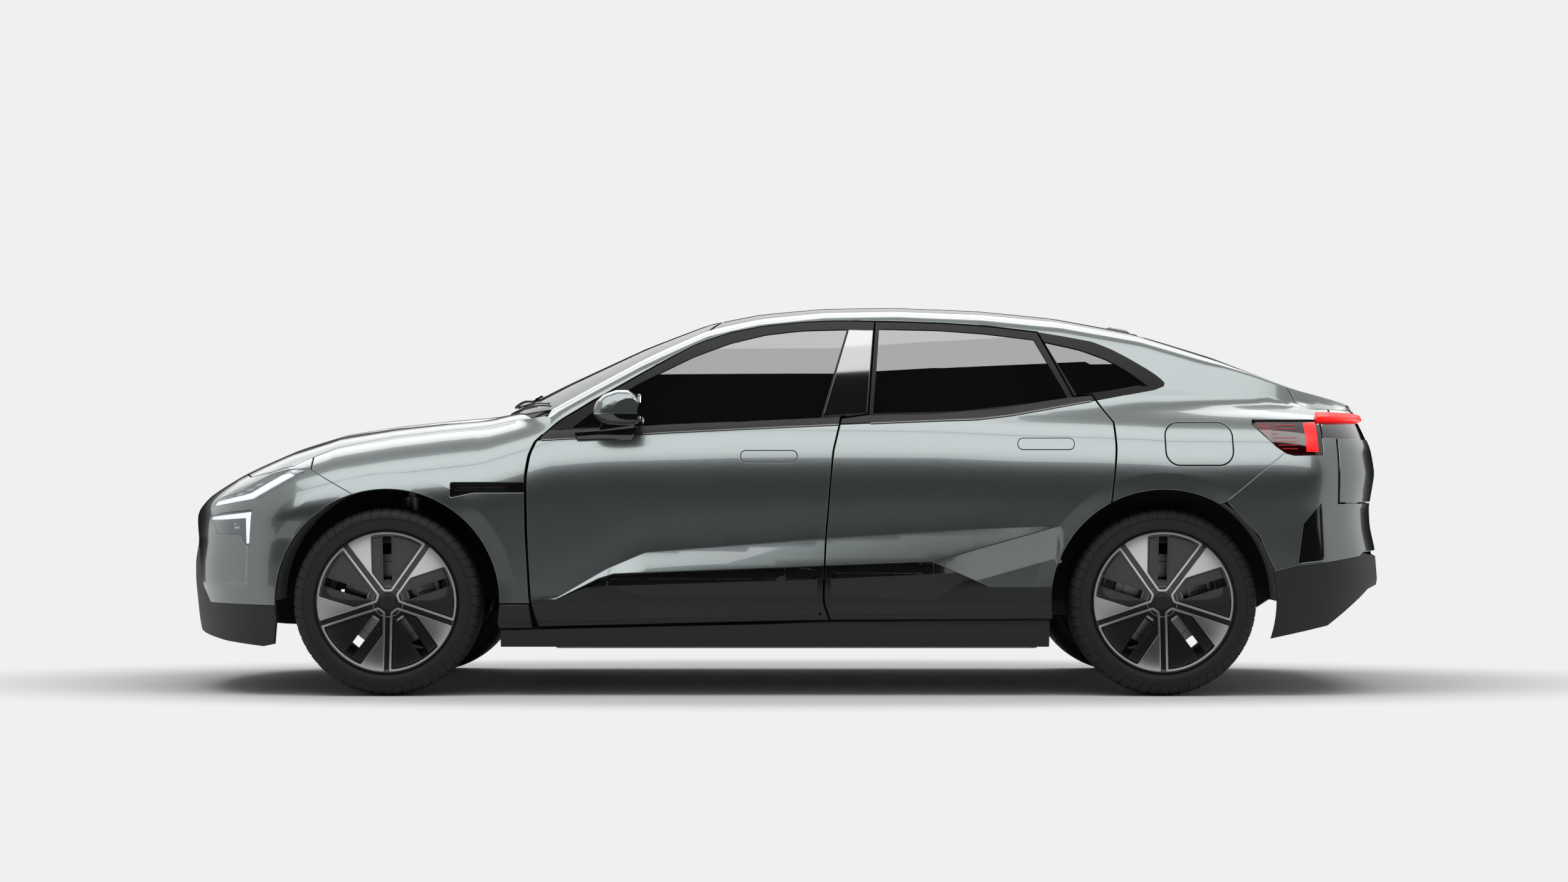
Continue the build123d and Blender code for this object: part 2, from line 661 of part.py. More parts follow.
with BuildPart() as bar_slot:
    add(column(light_bar_outline(bar_proud), bar_low - glazing_gap, bar_high + glazing_gap))
    add(column(light_bar_outline(-bar_deep - glazing_gap), bar_low - 1, bar_high + 1), mode=Mode.SUBTRACT)
with BuildPart() as tailgate_back:
    add(skin_wall(side_polygon(tailgate_back_edge), tail_skin(), tail_sweep))
with BuildPart() as tailgate_deck:
    add(roof_wall(tailgate_outline(-shut_gap / 2), 0, tailgate_gauge))
with BuildPart() as tailgate:
    add(mirrored(tailgate_back.part))
    add(tailgate_deck)
    add(bar_slot, mode=Mode.SUBTRACT)
save(tailgate.part, "tailgate")

with BuildPart() as tail_lamp:
    add(skin_wall(side_polygon(tail_lamp_edge), tail_skin(), tail_sweep * 1.5))
save(mirrored(tail_lamp.part), "tail_lamps")

with BuildPart() as bumper:
    add(skin_wall(side_polygon(rear_bumper_edge, -seat_gap / 2), tail_skin(), tail_sweep))
    extrude(rear_arch, amount=1300, dir=leftward, mode=Mode.SUBTRACT)
    extrude(side_polygon(tail_lamp_edge, seat_gap), amount=1300, dir=leftward, mode=Mode.SUBTRACT)
    extrude(side_polygon(tailgate_back_edge, shut_gap), amount=1300, dir=leftward, mode=Mode.SUBTRACT)
save(mirrored(bumper.part), "rear_bumper")

with BuildPart() as rear_foot:
    add(skin_wall(side_polygon(rear_foot_edge, -seat_gap / 2), tail_skin(), tail_sweep))
    add(lip(body_length / 2, 424))
    extrude(rear_arch, amount=1300, dir=leftward, mode=Mode.SUBTRACT)
save(mirrored(rear_foot.part), "rear_lower_bumper")

# Underbody: sills, floor, battery, drive units, wheelhouses
sill_low, sill_deep = 187, 155
with BuildPart() as sill:
    with BuildSketch(Plane.YZ.offset(station(sill_line[0][0]))):
        with BuildLine():
            Polyline((-half(955), 300), (-half(925), sill_low), (-half(925) + sill_deep, sill_low),
                     (-half(925) + sill_deep, 300), close=True)
        make_face()
    extrude(amount=station(sill_line[-1][0]) - station(sill_line[0][0]))
    extrude(side_polygon(sill_line + [(1028, 100), (-1098, 100)]), amount=1300, dir=leftward,
            mode=Mode.INTERSECT)
save(mirrored(sill.part), "sills")

battery_top = ground_clearance + battery_height
floor_low = battery_top + seat_gap
floor_top = floor_low + floor_gauge
with BuildPart() as battery_pack:
    with BuildSketch(Plane.XY.offset(ground_clearance)):
        with Locations((station(50), 0)):
            RectangleRounded(battery_length, battery_width, 40)
    extrude(amount=battery_height)
save(battery_pack.part, "battery_pack")

floor_half = half(925) - sill_deep - seat_gap
riser_x, boot_floor_z, boot_end_x = station(1000), 470, station(2230)
boot_half = rear_liner_wall_y - seat_gap
rail_near, rail_far, rail_low, rail_high = 440, front_liner_wall_y - seat_gap, 430, 520
rail_start = station(-2200)
unit_top = 490
with BuildPart() as floor_pan:
    for low, high in (
        ((firewall_x, -floor_half, floor_low), (riser_x, floor_half, floor_top)),
        ((firewall_x, -firewall_half, floor_low), (firewall_x + floor_gauge, firewall_half, firewall_top)),
        ((riser_x - floor_gauge, -boot_half, floor_low), (riser_x, boot_half, boot_floor_z)),
        ((riser_x - floor_gauge, -boot_half, boot_floor_z - floor_gauge),
         (boot_end_x, boot_half, boot_floor_z)),
        ((boot_end_x - floor_gauge, -boot_half, boot_floor_z), (boot_end_x, boot_half, 700)),
        ((rail_start, -rail_far, rail_low), (firewall_x, -rail_near, rail_high)),
        ((rail_start, rail_near, rail_low), (firewall_x, rail_far, rail_high)),
        ((rail_start, -rail_near, rail_low), (rail_start + 60, rail_near, rail_high)),
        ((front_axle_x - 40, -rail_near, unit_top + seat_gap),
         (front_axle_x + 40, rail_near, unit_top + 40)),
    ):
        with Locations([(Vector(*low) + Vector(*high)) * 0.5]):
            Box(*(Vector(*high) - Vector(*low)))
save(floor_pan.part, "floor_pan")

front_unit_half, rear_unit_half = 260, 280
with BuildPart() as drive_units:
    with BuildSketch(Plane.XY.offset(240)):
        with Locations((front_axle_x, 0)):
            RectangleRounded(360, 2 * front_unit_half, 40)
    extrude(amount=unit_top - 240)
    with BuildSketch(Plane.XY.offset(200)):
        with Locations((rear_axle_x, 0)):
            RectangleRounded(420, 2 * rear_unit_half, 40)
    extrude(amount=boot_floor_z - floor_gauge - seat_gap - 200)
save(drive_units.part, "drive_units")


def wheelhouse(x, radius, wall_y, outer_y):
    """A half barrel over one left wheel with a wall on its inboard side."""
    with BuildPart() as house:
        with BuildSketch(Plane.XZ.offset(wall_y)):
            with Locations((x, hub_height)):
                Circle(radius + liner_gauge)
        extrude(amount=outer_y - wall_y)
        with BuildSketch(Plane.XZ.offset(wall_y + liner_gauge)):
            with Locations((x, hub_height)):
                Circle(radius)
        extrude(amount=outer_y - wall_y, mode=Mode.SUBTRACT)
        with Locations((x, -wall_y, hub_height + 130)):
            Box(500, 100, 260, mode=Mode.SUBTRACT)
        split(bisect_by=Plane.XY.offset(hub_height), keep=Keep.TOP)
    return house.part


liner_outer_y = half(890)
strut_offset, strut_y, strut_radius = 60, 590, 24
liner_radius = arch_radius + liner_clearance
liner_underside = hub_height + sqrt(liner_radius**2 - (strut_offset + strut_radius) ** 2)
with BuildPart() as wheel_liners:
    add(wheelhouse(front_axle_x, liner_radius, front_liner_wall_y, liner_outer_y))
    add(wheelhouse(rear_axle_x, rear_arch_radius + liner_clearance, rear_liner_wall_y, liner_outer_y))
    mirror(about=Plane.XZ)
save(wheel_liners.part, "wheel_liners")

# Axles: knuckles, arms and struts
stub_clearance = 0.05
knuckle_y, stub_end_y = 790, 868


def knuckle(x):
    with BuildPart() as upright:
        with BuildSketch(Plane.XZ.offset(knuckle_y - 70)):
            with Locations((x, hub_height)):
                RectangleRounded(96, 170, 20)
        extrude(amount=70)
        with BuildSketch(Plane.XZ.offset(knuckle_y)):
            with Locations((x, hub_height)):
                Circle(hub_bore / 2 - stub_clearance)
        extrude(amount=stub_end_y - knuckle_y)
    return upright.part


def suspension(x, root_y, strut_y, strut_top):
    """The left lower arm and strut at one axle, the arm rooted on the drive unit."""
    arm_z, arm_high = hub_height - 85 - 26 - seat_gap, 26
    with BuildPart() as links:
        with BuildSketch(Plane.XY.offset(arm_z)):
            with BuildLine():
                Polyline((x - 40, 4 - knuckle_y), (x + 40, 4 - knuckle_y), (x + 150, -root_y),
                         (x + 90, -root_y), (x, 150 - knuckle_y), (x - 90, -root_y),
                         (x - 150, -root_y), close=True)
            make_face()
        extrude(amount=arm_high)
        with BuildSketch(Plane.XY.offset(arm_z + arm_high)):
            with Locations((x + strut_offset, -strut_y)):
                Circle(strut_radius)
        extrude(amount=strut_top - arm_z - arm_high)
        with BuildSketch(Plane.XY.offset(arm_z + arm_high + 40)):
            with Locations((x + strut_offset, -strut_y)):
                Circle(strut_radius + 20)
        extrude(amount=strut_top - arm_z - arm_high - 80)
    return links.part


with BuildPart() as knuckle_front:
    add(knuckle(front_axle_x))
save_pair(knuckle_front.part, "knuckle_front")
with BuildPart() as rear_knuckles:
    add(knuckle(rear_axle_x))
    mirror(about=Plane.XZ)
save(rear_knuckles.part, "rear_knuckles")
with BuildPart() as suspension_arms:
    add(suspension(front_axle_x, front_unit_half + seat_gap, strut_y, liner_underside - seat_gap))
    add(suspension(rear_axle_x, rear_unit_half + seat_gap, strut_y, boot_floor_z - floor_gauge - seat_gap))
    mirror(about=Plane.XZ)
save(suspension_arms.part, "suspension_arms")

# Wheels and tyres
bead_radius, bead_fit = 254, 0.3
rim_half_width = 118
hub_face_y = track_half + 70


def wheel_plane(x):
    """Sketch plane with its first axis along the wheel's radius and its second along y."""
    return Plane(origin=(x, 0, hub_height), x_dir=z_axis, z_dir=(-1, 0, 0))


def wheel(x):
    axle = Axis((x, 0, hub_height), y_axis)
    outer, inner = -track_half - rim_half_width, -track_half + rim_half_width
    with BuildPart() as rim:
        with BuildSketch(wheel_plane(x)):
            with BuildLine():
                Polyline((rim_radius, outer), (rim_radius, outer + 10), (bead_radius, outer + 14),
                         (bead_radius, outer + 52), (232, outer + 74), (232, inner - 60),
                         (bead_radius, inner - 44), (bead_radius, inner - 14), (rim_radius, inner - 10),
                         (rim_radius, inner), (262, inner), (244, inner - 20), (222, inner - 60),
                         (222, outer + 80), (240, outer + 34), (257, outer), close=True)
            make_face()
        revolve(axis=axle)
        with BuildSketch(wheel_plane(x)):
            with BuildLine():
                Polyline((hub_bore / 2, -hub_face_y), (80, -hub_face_y), (246, outer + 8),
                         (246, outer + 30), (90, -hub_face_y + 34), (84, -knuckle_y - 8),
                         (hub_bore / 2, -knuckle_y - 8), close=True)
            make_face()
        revolve(axis=axle)
        with BuildSketch(Plane.XZ.offset(track_half)):
            with Locations((x, hub_height)):
                with PolarLocations(165, 5, start_angle=90):
                    SlotOverall(120, 36)
        extrude(amount=200, mode=Mode.SUBTRACT)
        with BuildSketch(Plane.XZ.offset(knuckle_y)):
            with Locations((x, hub_height)):
                with PolarLocations(bolt_circle / 2, 5, start_angle=54):
                    Circle(7.2)
        extrude(amount=hub_face_y - knuckle_y + 10, mode=Mode.SUBTRACT)
    return rim.part


def tyre(x):
    """A hollow tyre: outside from bead to tread and back, then the inside of its wall."""
    seat, flange, middle = bead_radius + bead_fit, rim_radius + 2 * bead_fit, -track_half
    bead, lip, bulge = rim_half_width - 15, rim_half_width - 11, tyre_width / 2
    shoulder, tread = (tyre_radius - 8, bulge - 20), tyre_radius - 18
    with BuildPart() as ring:
        with BuildSketch(wheel_plane(x)):
            with BuildLine():
                for side in (1, -1):
                    Polyline((tread, middle), (tread, middle + side * (bulge - 26)),
                             (300, middle + side * (bulge - 14)), (seat, middle + side * (bead - 14)),
                             (seat, middle + side * bead), (flange, middle + side * lip))
                    Spline((flange, middle + side * lip), (288, middle + side * (bulge - 9)),
                           (312, middle + side * bulge), (342, middle + side * (bulge - 8)),
                           (shoulder[0], middle + side * shoulder[1]))
                Spline((shoulder[0], middle - shoulder[1]), (tyre_radius, middle),
                       (shoulder[0], middle + shoulder[1]))
            make_face()
        revolve(axis=Axis((x, 0, hub_height), y_axis))
    return ring.part


for place, x in (("front", front_axle_x), ("rear", rear_axle_x)):
    with BuildPart() as wheel_piece:
        add(wheel(x))
    save_pair(wheel_piece.part, f"wheel_{place}")
    with BuildPart() as tyre_piece:
        add(tyre(x))
    save_pair(tyre_piece.part, f"tyre_{place}")

# Cabin: scuttle, dashboard, console, seats, steering wheel
with BuildPart() as scuttle:
    add(roof_wall(scuttle_outline(), glass_gauge + seat_gap, glass_gauge + 25))
save(scuttle.part, "scuttle")

dash_front, dash_half = firewall_x + floor_gauge + seat_gap, 735
with BuildPart() as dashboard:
    with BuildSketch(Plane.XZ.offset(-dash_half)):
        with BuildLine():
            Polyline((dash_front, 640), (dash_front, 960), (-900, 985), (-700, 960), (-660, 900),
                     (-690, 780), (-800, 640), close=True)
        make_face()
    extrude(amount=2 * dash_half)
save(dashboard.part, "dashboard")

with BuildPart() as centre_console:
    with BuildSketch(Plane.XZ.offset(-95)):
        with BuildLine():
            Polyline((-860, floor_top), (-780, 600), (-560, 560), (40, 560), (70, floor_top), close=True)
        make_face()
    extrude(amount=190)
save(centre_console.part, "centre_console")

wheel_hub = Vector(-560, -370, 905)
column_plane = Plane(origin=wheel_hub, x_dir=y_axis, z_dir=(0.91, 0, 0.42))
with BuildPart() as steering_wheel:
    with BuildSketch(column_plane.offset(-14)):
        Circle(186)
        Circle(156, mode=Mode.SUBTRACT)
        Rectangle(330, 44)
        with Locations((80, 0)):
            Rectangle(160, 40)
        Circle(62)
    extrude(amount=28)
    with BuildSketch(column_plane.offset(-14)):
        Circle(26)
    extrude(amount=-148)
    add(dashboard, mode=Mode.SUBTRACT)
save(steering_wheel.part, "steering_wheel")


def seat_profile(x, cushion_z, back_top, head_top):
    """Side view of a seat on the floor, its hip at station x."""
    return [(x - 470, floor_top), (x - 500, cushion_z - 20), (x - 440, cushion_z + 20),
            (x - 60, cushion_z - 30), (x + 110, back_top), (x + 100, back_top + 40), (x + 120, head_top),
            (x + 190, head_top - 20), (x + 200, back_top + 20), (x + 90, cushion_z), (x + 60, floor_top)]


with BuildPart() as front_seats:
    with BuildSketch(Plane.XZ.offset(110)):
        with BuildLine():
            Polyline(*seat_profile(60, 560, 1090, 1270), close=True)
        make_face()
    extrude(amount=seat_width)
    mirror(about=Plane.XZ)
save(front_seats.part, "front_seats")

bench_back = riser_x - floor_gauge - seat_gap
with BuildPart() as rear_seat:
    with BuildSketch(Plane.XZ.offset(-rear_bench_half)):
        with BuildLine():
            Polyline((640, floor_top), (600, 540), (660, 580), (950, 540), (1110, 1060), (1150, 1190),
                     (1210, 1180), (1230, 1060), (1120, boot_floor_z + seat_gap),
                     (bench_back, boot_floor_z), (bench_back, floor_top), close=True)
        make_face()
    extrude(amount=2 * rear_bench_half)
save(rear_seat.part, "rear_seat")

with BuildPart() as camera_pod:
    with BuildSketch(Plane.XY.offset(1400)):
        with Locations((station(1382), 0)):
            RectangleRounded(90, 130, 30)
    extrude(amount=62)
    extrude(roof_skin(0), amount=200, dir=(0, 0, -1), mode=Mode.SUBTRACT)
save(camera_pod.part, "camera_pod")

with BuildPart() as mirror_body:
    with BuildSketch(Plane.XZ.offset(905)):
        with BuildLine():
            Spline((-551, 1060), (-560, 1130), (-604, 1181), (-690, 1160), (-733, 1095), (-720, 1052))
            Spline((-720, 1052), (-640, 1032), (-551, 1060))
        make_face()
    extrude(amount=160)
    with BuildSketch(Plane.XZ.offset(800)):
        with BuildLine():
            Polyline((-700, 985), (-600, 985), (-580, 1075), (-690, 1075), close=True)
        make_face()
    extrude(amount=160)
    extrude(side_skin(-mirror_gap), amount=400, dir=y_axis, mode=Mode.SUBTRACT)
save_pair(mirror_body.part, "mirror")
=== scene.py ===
import json, math
import bpy, bmesh
import numpy as np
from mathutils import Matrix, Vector
from mathutils.geometry import delaunay_2d_cdt

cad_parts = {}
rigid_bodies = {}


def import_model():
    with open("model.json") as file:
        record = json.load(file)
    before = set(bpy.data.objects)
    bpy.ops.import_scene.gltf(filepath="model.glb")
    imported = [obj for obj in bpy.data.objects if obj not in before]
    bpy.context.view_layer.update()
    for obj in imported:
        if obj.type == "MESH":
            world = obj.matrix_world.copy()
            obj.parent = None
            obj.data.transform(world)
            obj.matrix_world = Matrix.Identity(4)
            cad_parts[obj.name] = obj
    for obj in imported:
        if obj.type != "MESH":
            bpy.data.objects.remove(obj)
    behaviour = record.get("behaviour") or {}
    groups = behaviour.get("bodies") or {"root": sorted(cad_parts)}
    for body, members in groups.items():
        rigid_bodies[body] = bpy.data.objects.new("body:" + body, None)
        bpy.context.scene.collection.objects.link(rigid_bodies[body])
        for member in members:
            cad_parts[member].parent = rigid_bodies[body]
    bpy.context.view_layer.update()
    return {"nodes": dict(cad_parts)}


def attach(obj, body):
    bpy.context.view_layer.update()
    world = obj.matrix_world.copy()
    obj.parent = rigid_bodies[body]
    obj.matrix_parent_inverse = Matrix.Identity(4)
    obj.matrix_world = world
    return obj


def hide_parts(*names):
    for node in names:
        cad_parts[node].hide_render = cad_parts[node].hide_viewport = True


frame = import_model()
print("stage: frame loaded")

# curves and surfaces, in mm until a mesh is written
noseStart, noseTip, tailStart, tailTip = -1200.0, -2420.0, 1465.0, 2420.0
noseCap, hoodEnd = 760.0, -1150  # height where the nose's profile stops, station where the hood's line stops
deckTipHeight, sectionEnd, tailHalfWidth = 1130.0, 2330, 990
beltHeight, glassBow, glassFold = 1065, 0.00018, 0.004
frontAxle, rearAxle = (-1534.0, 364.0), (1465.0, 364.0)  # station and height
frontArchRadius, rearArchRadius = 436.0, 434.0


def naturalCurve(*knots):  # smooth curve through (x, value) knots, straight beyond its ends
    xs = np.array([k[0] for k in knots], float)
    ys = np.array([k[1] for k in knots], float)
    h = np.diff(xs)
    n = len(xs)
    a = np.eye(n)
    r = np.zeros(n)
    for i in range(1, n - 1):
        a[i, i - 1], a[i, i], a[i, i + 1] = h[i - 1], 2 * (h[i - 1] + h[i]), h[i]
        r[i] = (ys[i + 1] - ys[i]) / h[i] - (ys[i] - ys[i - 1]) / h[i - 1]
    m = np.linalg.solve(a, r)

    def value(x):
        x = np.asarray(x, float)
        i = np.clip(np.searchsorted(xs, x, side="right") - 1, 0, n - 2)
        step = h[i]
        p, q = (xs[i + 1] - x) / step, (x - xs[i]) / step
        inside = p * ys[i] + q * ys[i + 1] + ((p**3 - p) * m[i] + (q**3 - q) * m[i + 1]) * step**2 / 6
        before = ys[0] + (x - xs[0]) * ((ys[1] - ys[0]) / h[0] - h[0] * m[1] / 6)
        after = ys[-1] + (x - xs[-1]) * ((ys[-1] - ys[-2]) / h[-1] + h[-1] * m[-2] / 6)
        return np.where(p > 1, before, np.where(q > 1, after, inside))

    return value


def steady(*knots):  # straight runs between (x, value) knots
    xs, ys = [k[0] for k in knots], [k[1] for k in knots]
    return lambda x: np.interp(x, xs, ys)


def ease(t):
    t = np.clip(t, 0, 1)
    return t * t * (3 - 2 * t)


hoodLine = naturalCurve((-2420, 705), (-2325, 778), (-2170, 863), (-1966, 955), (-1760, 1019),
                        (-1550, 1052), (-1345, 1074), (-1150, 1090))
roofLine = naturalCurve((-1170, 1088), (-881, 1233), (-568, 1377), (-307, 1476), (-99, 1517), (162, 1541),
                        (450, 1545), (787, 1532), (1099, 1501), (1412, 1442), (1725, 1345),
                        (2037, 1219), (2298, 1137), (2330, 1129))
roofCrown = naturalCurve((-1200, 2.0e-4), (-600, 1.75e-4), (-200, 1.5e-4), (1000, 1.5e-4),
                         (1700, 1.2e-4), (2330, 0.4e-4))
beltHalf = naturalCurve((-1200, 832), (-600, 862), (0, 872), (600, 870), (1200, 845), (1600, 800),
                        (2000, 740), (2400, 650))
bodyHalf = naturalCurve((-2420, 985), (-1534, 985), (-950, 962), (0, 955), (800, 965), (1465, 995),
                        (2420, 990))
shoulderLine = naturalCurve((-1150, 1090), (-906, 1130), (-700, 1150), (-200, 1168), (600, 1170),
                            (1400, 1165), (1900, 1150), (2330, 1130))
shoulderStart = naturalCurve((-2420, 560), (-1900, 680), (-1200, 700), (2420, 700))
shoulderRise = naturalCurve((-2420, 2.2), (-1200, 2.3), (-906, 3.0), (-700, 3.2), (600, 3.2), (1500, 3.0),
                            (2400, 3.5))
shoulderSide = naturalCurve((-2420, 4.5), (-1200, 5), (-906, 6.4), (-700, 6), (600, 6), (1500, 5), (2400, 6))
noseProfile = naturalCurve((150, -2372), (280, -2396), (430, -2412), (513, -2412), (596, -2398),
                           (690, -2412), (760, -2412))
tailProfile = naturalCurve((150, 2300), (300, 2380), (435, 2412), (553, 2402), (650, 2380), (724, 2376),
                           (860, 2400), (960, 2385), (1060, 2345), (1130, 2325))


def bodyTop(x):
    return np.where(x < hoodEnd, hoodLine(x), shoulderLine(x))


def lowerHalf(x, z):
    rise = np.clip((z - shoulderStart(x)) / (bodyTop(x) - shoulderStart(x)), 0, 1)
    return bodyHalf(x) * (1 - rise ** shoulderRise(x)) ** (1 / shoulderSide(x))


def glassHalf(x, z):
    above = z - beltHeight
    tuck = glassFold * np.minimum(0, above + 10) ** 2
    fade = glassFold * np.minimum(0, x + 900) ** 2
    return beltHalf(x) - 0.5 * above - glassBow * above * np.abs(above) - tuck - fade


# the light catcher: upper crease, lower edge and how far it swells out
catcherTop = steady((-882, 377), (-687, 489), (-538, 556), (162, 610), (733, 646), (1051, 660))
catcherFoot = steady((-882, 370), (-716, 455), (-657, 473), (162, 506), (586, 524), (1051, 655))
catcherSwell = steady((-1000, 0), (-882, 4), (-687, 26), (-538, 36), (0, 38), (586, 36), (900, 14), (1051, 0))
swell = {"share": 1.0, "faceShare": 0.58, "softTurn": 0.06, "underHeight": 120.0, "underDeep": 16,
         "underEnd": 1060, "waistDeep": 2.0, "waistUp": 40, "waistWide": 90.0}


def sideDetail(x, z):
    top, foot, out = catcherTop(x), catcherFoot(x), catcherSwell(x)
    t = (top - z) / np.maximum(top - foot, 6.0)
    ramp = np.where(t < 0, 0, np.where(t > 1, 1, t))
    k = swell["softTurn"]
    ramp = np.where(np.abs(t) < k, (t + k) ** 2 / (4 * k), ramp)
    ramp = np.where(np.abs(t - 1) < k, 1 - (1 - t + k) ** 2 / (4 * k), ramp)
    under = np.clip((foot - z) / swell["underHeight"], 0, 1) * ease((x - 560) / 200.0) * swell["underDeep"]
    band = np.exp(-((z - top - swell["waistUp"]) / swell["waistWide"]) ** 2)
    waist = swell["waistDeep"] * ease((x + 1000) / 500.0) * ease((1150 - x) / 500.0) * band
    return swell["share"] * out * ramp - under * (x < swell["underEnd"]) - waist


def sectionHalf(x, z, fine=True):
    body, glass = lowerHalf(x, z), glassHalf(x, z)
    blend = 25 + 35 * np.clip((x - 900) / 500, 0, 1)
    half = (body + glass + np.sqrt((body - glass) ** 2 + blend**2)) / 2
    return half + sideDetail(x, z) if fine else half


def tailReach(z):
    return tailProfile(np.minimum(z, deckTipHeight)) - tailStart


def tailWidth(u):
    return np.maximum(0, 1 - np.clip(u, 0, 1) ** 6) ** (1 / 2.2)


def sideHalf(x, z):
    share = np.maximum(0, (x - tailStart) / tailReach(z))
    drawn = np.where(share > 0, tailStart + share * (tailTip - tailStart), x)
    return sectionHalf(np.minimum(drawn, sectionEnd), z) * tailWidth(share)


def roofHeight(x, y):
    return roofLine(x) - roofCrown(x) * y**2


def halve(test, low, high, rounds=34):  # bisection on arrays: test(v) rises through zero
    low, high = np.array(low, float), np.array(high, float)
    for _ in range(rounds):
        mid = (low + high) / 2
        up = test(mid) > 0
        high, low = np.where(up, mid, high), np.where(up, low, mid)
    return (low + high) / 2


def cornerHeight(x):  # where the side meets the roof
    return halve(lambda z: z - roofHeight(x, sideHalf(x, z)), np.full_like(x, 900.0), np.full_like(x, 1600.0))


cornerStations = np.linspace(-1300, sectionEnd, 400)
cornerTable = cornerHeight(cornerStations)
cornerHalfTable = sideHalf(cornerStations, cornerTable)


def cornerAt(x):  # height and half width of the roof's corner
    return np.interp(x, cornerStations, cornerTable), np.interp(x, cornerStations, cornerHalfTable)


def bareSide(x, b):
    corner, cornerHalf = cornerAt(x)
    roofHalf = cornerHalf - (b - corner)
    onRoof = b > corner
    y = np.where(onRoof, roofHalf, sideHalf(x, np.minimum(b, corner)))
    z = np.where(onRoof, roofHeight(x, roofHalf), b)
    return y, z


archFacet = {"width": 64.0, "deep": -4.0}


def flare(x, z):  # the facet round each arch: it stands steeper than the panel above it
    out = 0
    for (station, height), edge in ((frontAxle, frontArchRadius), (rearAxle, rearArchRadius)):
        r = np.hypot(x - station, z - height)
        share = np.clip((edge + archFacet["width"] - r) / archFacet["width"], 0, 1)
        out = out + archFacet["deep"] * share * ease((z - 300) / 160)
    return out


cornerSoft = {"near": 60, "fade": 14.0, "taps": ((-48, 1), (-32, 2), (-16, 3), (0, 4), (16, 3), (32, 2),
                                                 (48, 1)), "weights": 16}


# the left side: b is the height, and past the roof's corner runs on inwards over the roof
def sidePoint(x, b):
    x, b = np.asarray(x, float), np.asarray(b, float)
    y, z = bareSide(x, b)
    away = np.abs(b - cornerAt(x)[0])
    if (away < cornerSoft["near"]).any():
        ys, zs = 0, 0
        for tap, weight in cornerSoft["taps"]:
            yt, zt = bareSide(x, b + tap)
            ys, zs = ys + yt * weight / cornerSoft["weights"], zs + zt * weight / cornerSoft["weights"]
        share = ease((cornerSoft["near"] - away) / cornerSoft["fade"]) * ease((1900 - x) / 300)
        y, z = y + (ys - y) * share, z + (zs - z) * share
    return np.stack([x, -y - flare(x, z), z], -1)


def sideFace(x, b):  # turns the light catcher less to the light than its full swell would
    swell["share"] = swell["faceShare"]
    out = sidePoint(x, b)
    swell["share"] = 1.0
    return out


def glassFace(x, z):  # gives the side glass its own steadier turn, clear of the panel's shoulder
    above = z - beltHeight
    lean = 0.440 - 0.034 * np.clip((x - 200) / 1000, 0, 1.3)
    return np.stack([x, lean * above + glassBow * above * np.abs(above) - beltHalf(x), z], -1)


def sideFromPlan(x, y):  # plan point to the side's chart, on the roof or below its corner
    corner, cornerHalf = cornerAt(x)
    below = halve(lambda z: np.abs(y) - sideHalf(x, z), np.full_like(x, 1050.0), corner)
    return np.where(np.abs(y) > cornerHalf, below, corner + cornerHalf - np.abs(y))


def noseDrawn(u):  # the station whose section a share of the nose is drawn from
    return noseStart + u * (noseTip - noseStart)


def noseHalf(u):
    return bodyHalf(noseDrawn(u)) * np.sqrt(np.maximum(0, 1 - np.clip(u, 0, 1) ** 5))


def noseFlat(drawn, z):  # share of the half width at height z
    rise = np.clip((z - shoulderStart(drawn)) / (bodyTop(drawn) - shoulderStart(drawn)), 0, 1)
    return (1 - rise ** shoulderRise(drawn)) ** (1 / shoulderSide(drawn))


def noseReach(u, z):
    return np.where(u > 0, noseStart - noseProfile(np.minimum(z, noseCap)), noseStart - noseTip)


def noseShare(x, z):
    return (noseStart - x) / noseReach(np.where(x < noseStart, 1.0, -1.0), z)


def noseCrown(share, drawn):  # height of the nose's top at a share of its half width
    rise = (1 - share ** shoulderSide(drawn)) ** (1 / shoulderRise(drawn))
    return shoulderStart(drawn) + rise * (bodyTop(drawn) - shoulderStart(drawn))


def nosePoint(a, b):  # a runs round the nose in plan, b up and over its section
    a, b = np.asarray(a, float), np.asarray(b, float)
    u = halve(lambda v: a - (noseDrawn(v) + noseHalf(v)), np.full_like(a, -0.5), np.ones_like(a))
    drawn = noseDrawn(u)
    wide = noseHalf(u)
    z = halve(lambda v: v + wide * (1 - noseFlat(drawn, v)) - b, np.full_like(b, 100.0), bodyTop(drawn))
    return np.stack([noseStart - u * noseReach(u, z), -wide * noseFlat(drawn, z), z], -1)


def noseFromSide(x, z):
    u = np.clip(noseShare(x, z), -0.5, 1)
    drawn = noseDrawn(u)
    return drawn + noseHalf(u), z + noseHalf(u) * (1 - noseFlat(drawn, z))


def noseFromPlan(x, y):
    u = np.clip(noseShare(x, np.full_like(x, noseCap)), -0.5, 0.9999)
    drawn, wide = noseDrawn(u), noseHalf(u)
    share = np.clip(abs(y) / wide, 0, 1)
    return drawn + wide, noseCrown(share, drawn) + wide * (1 - share)


def hoodPoint(x, y):  # plan view of the nose's top
    x, y = np.asarray(x, float), np.asarray(y, float)
    u = noseShare(x, np.full_like(x, noseCap))
    share = np.clip(np.abs(y) / noseHalf(u), 0, 1)
    return np.stack([x, y, noseCrown(share, noseDrawn(u))], -1)


def tailAlong(q):
    return tailStart + q * (tailTip - tailStart) - tailHalfWidth * tailWidth(q)


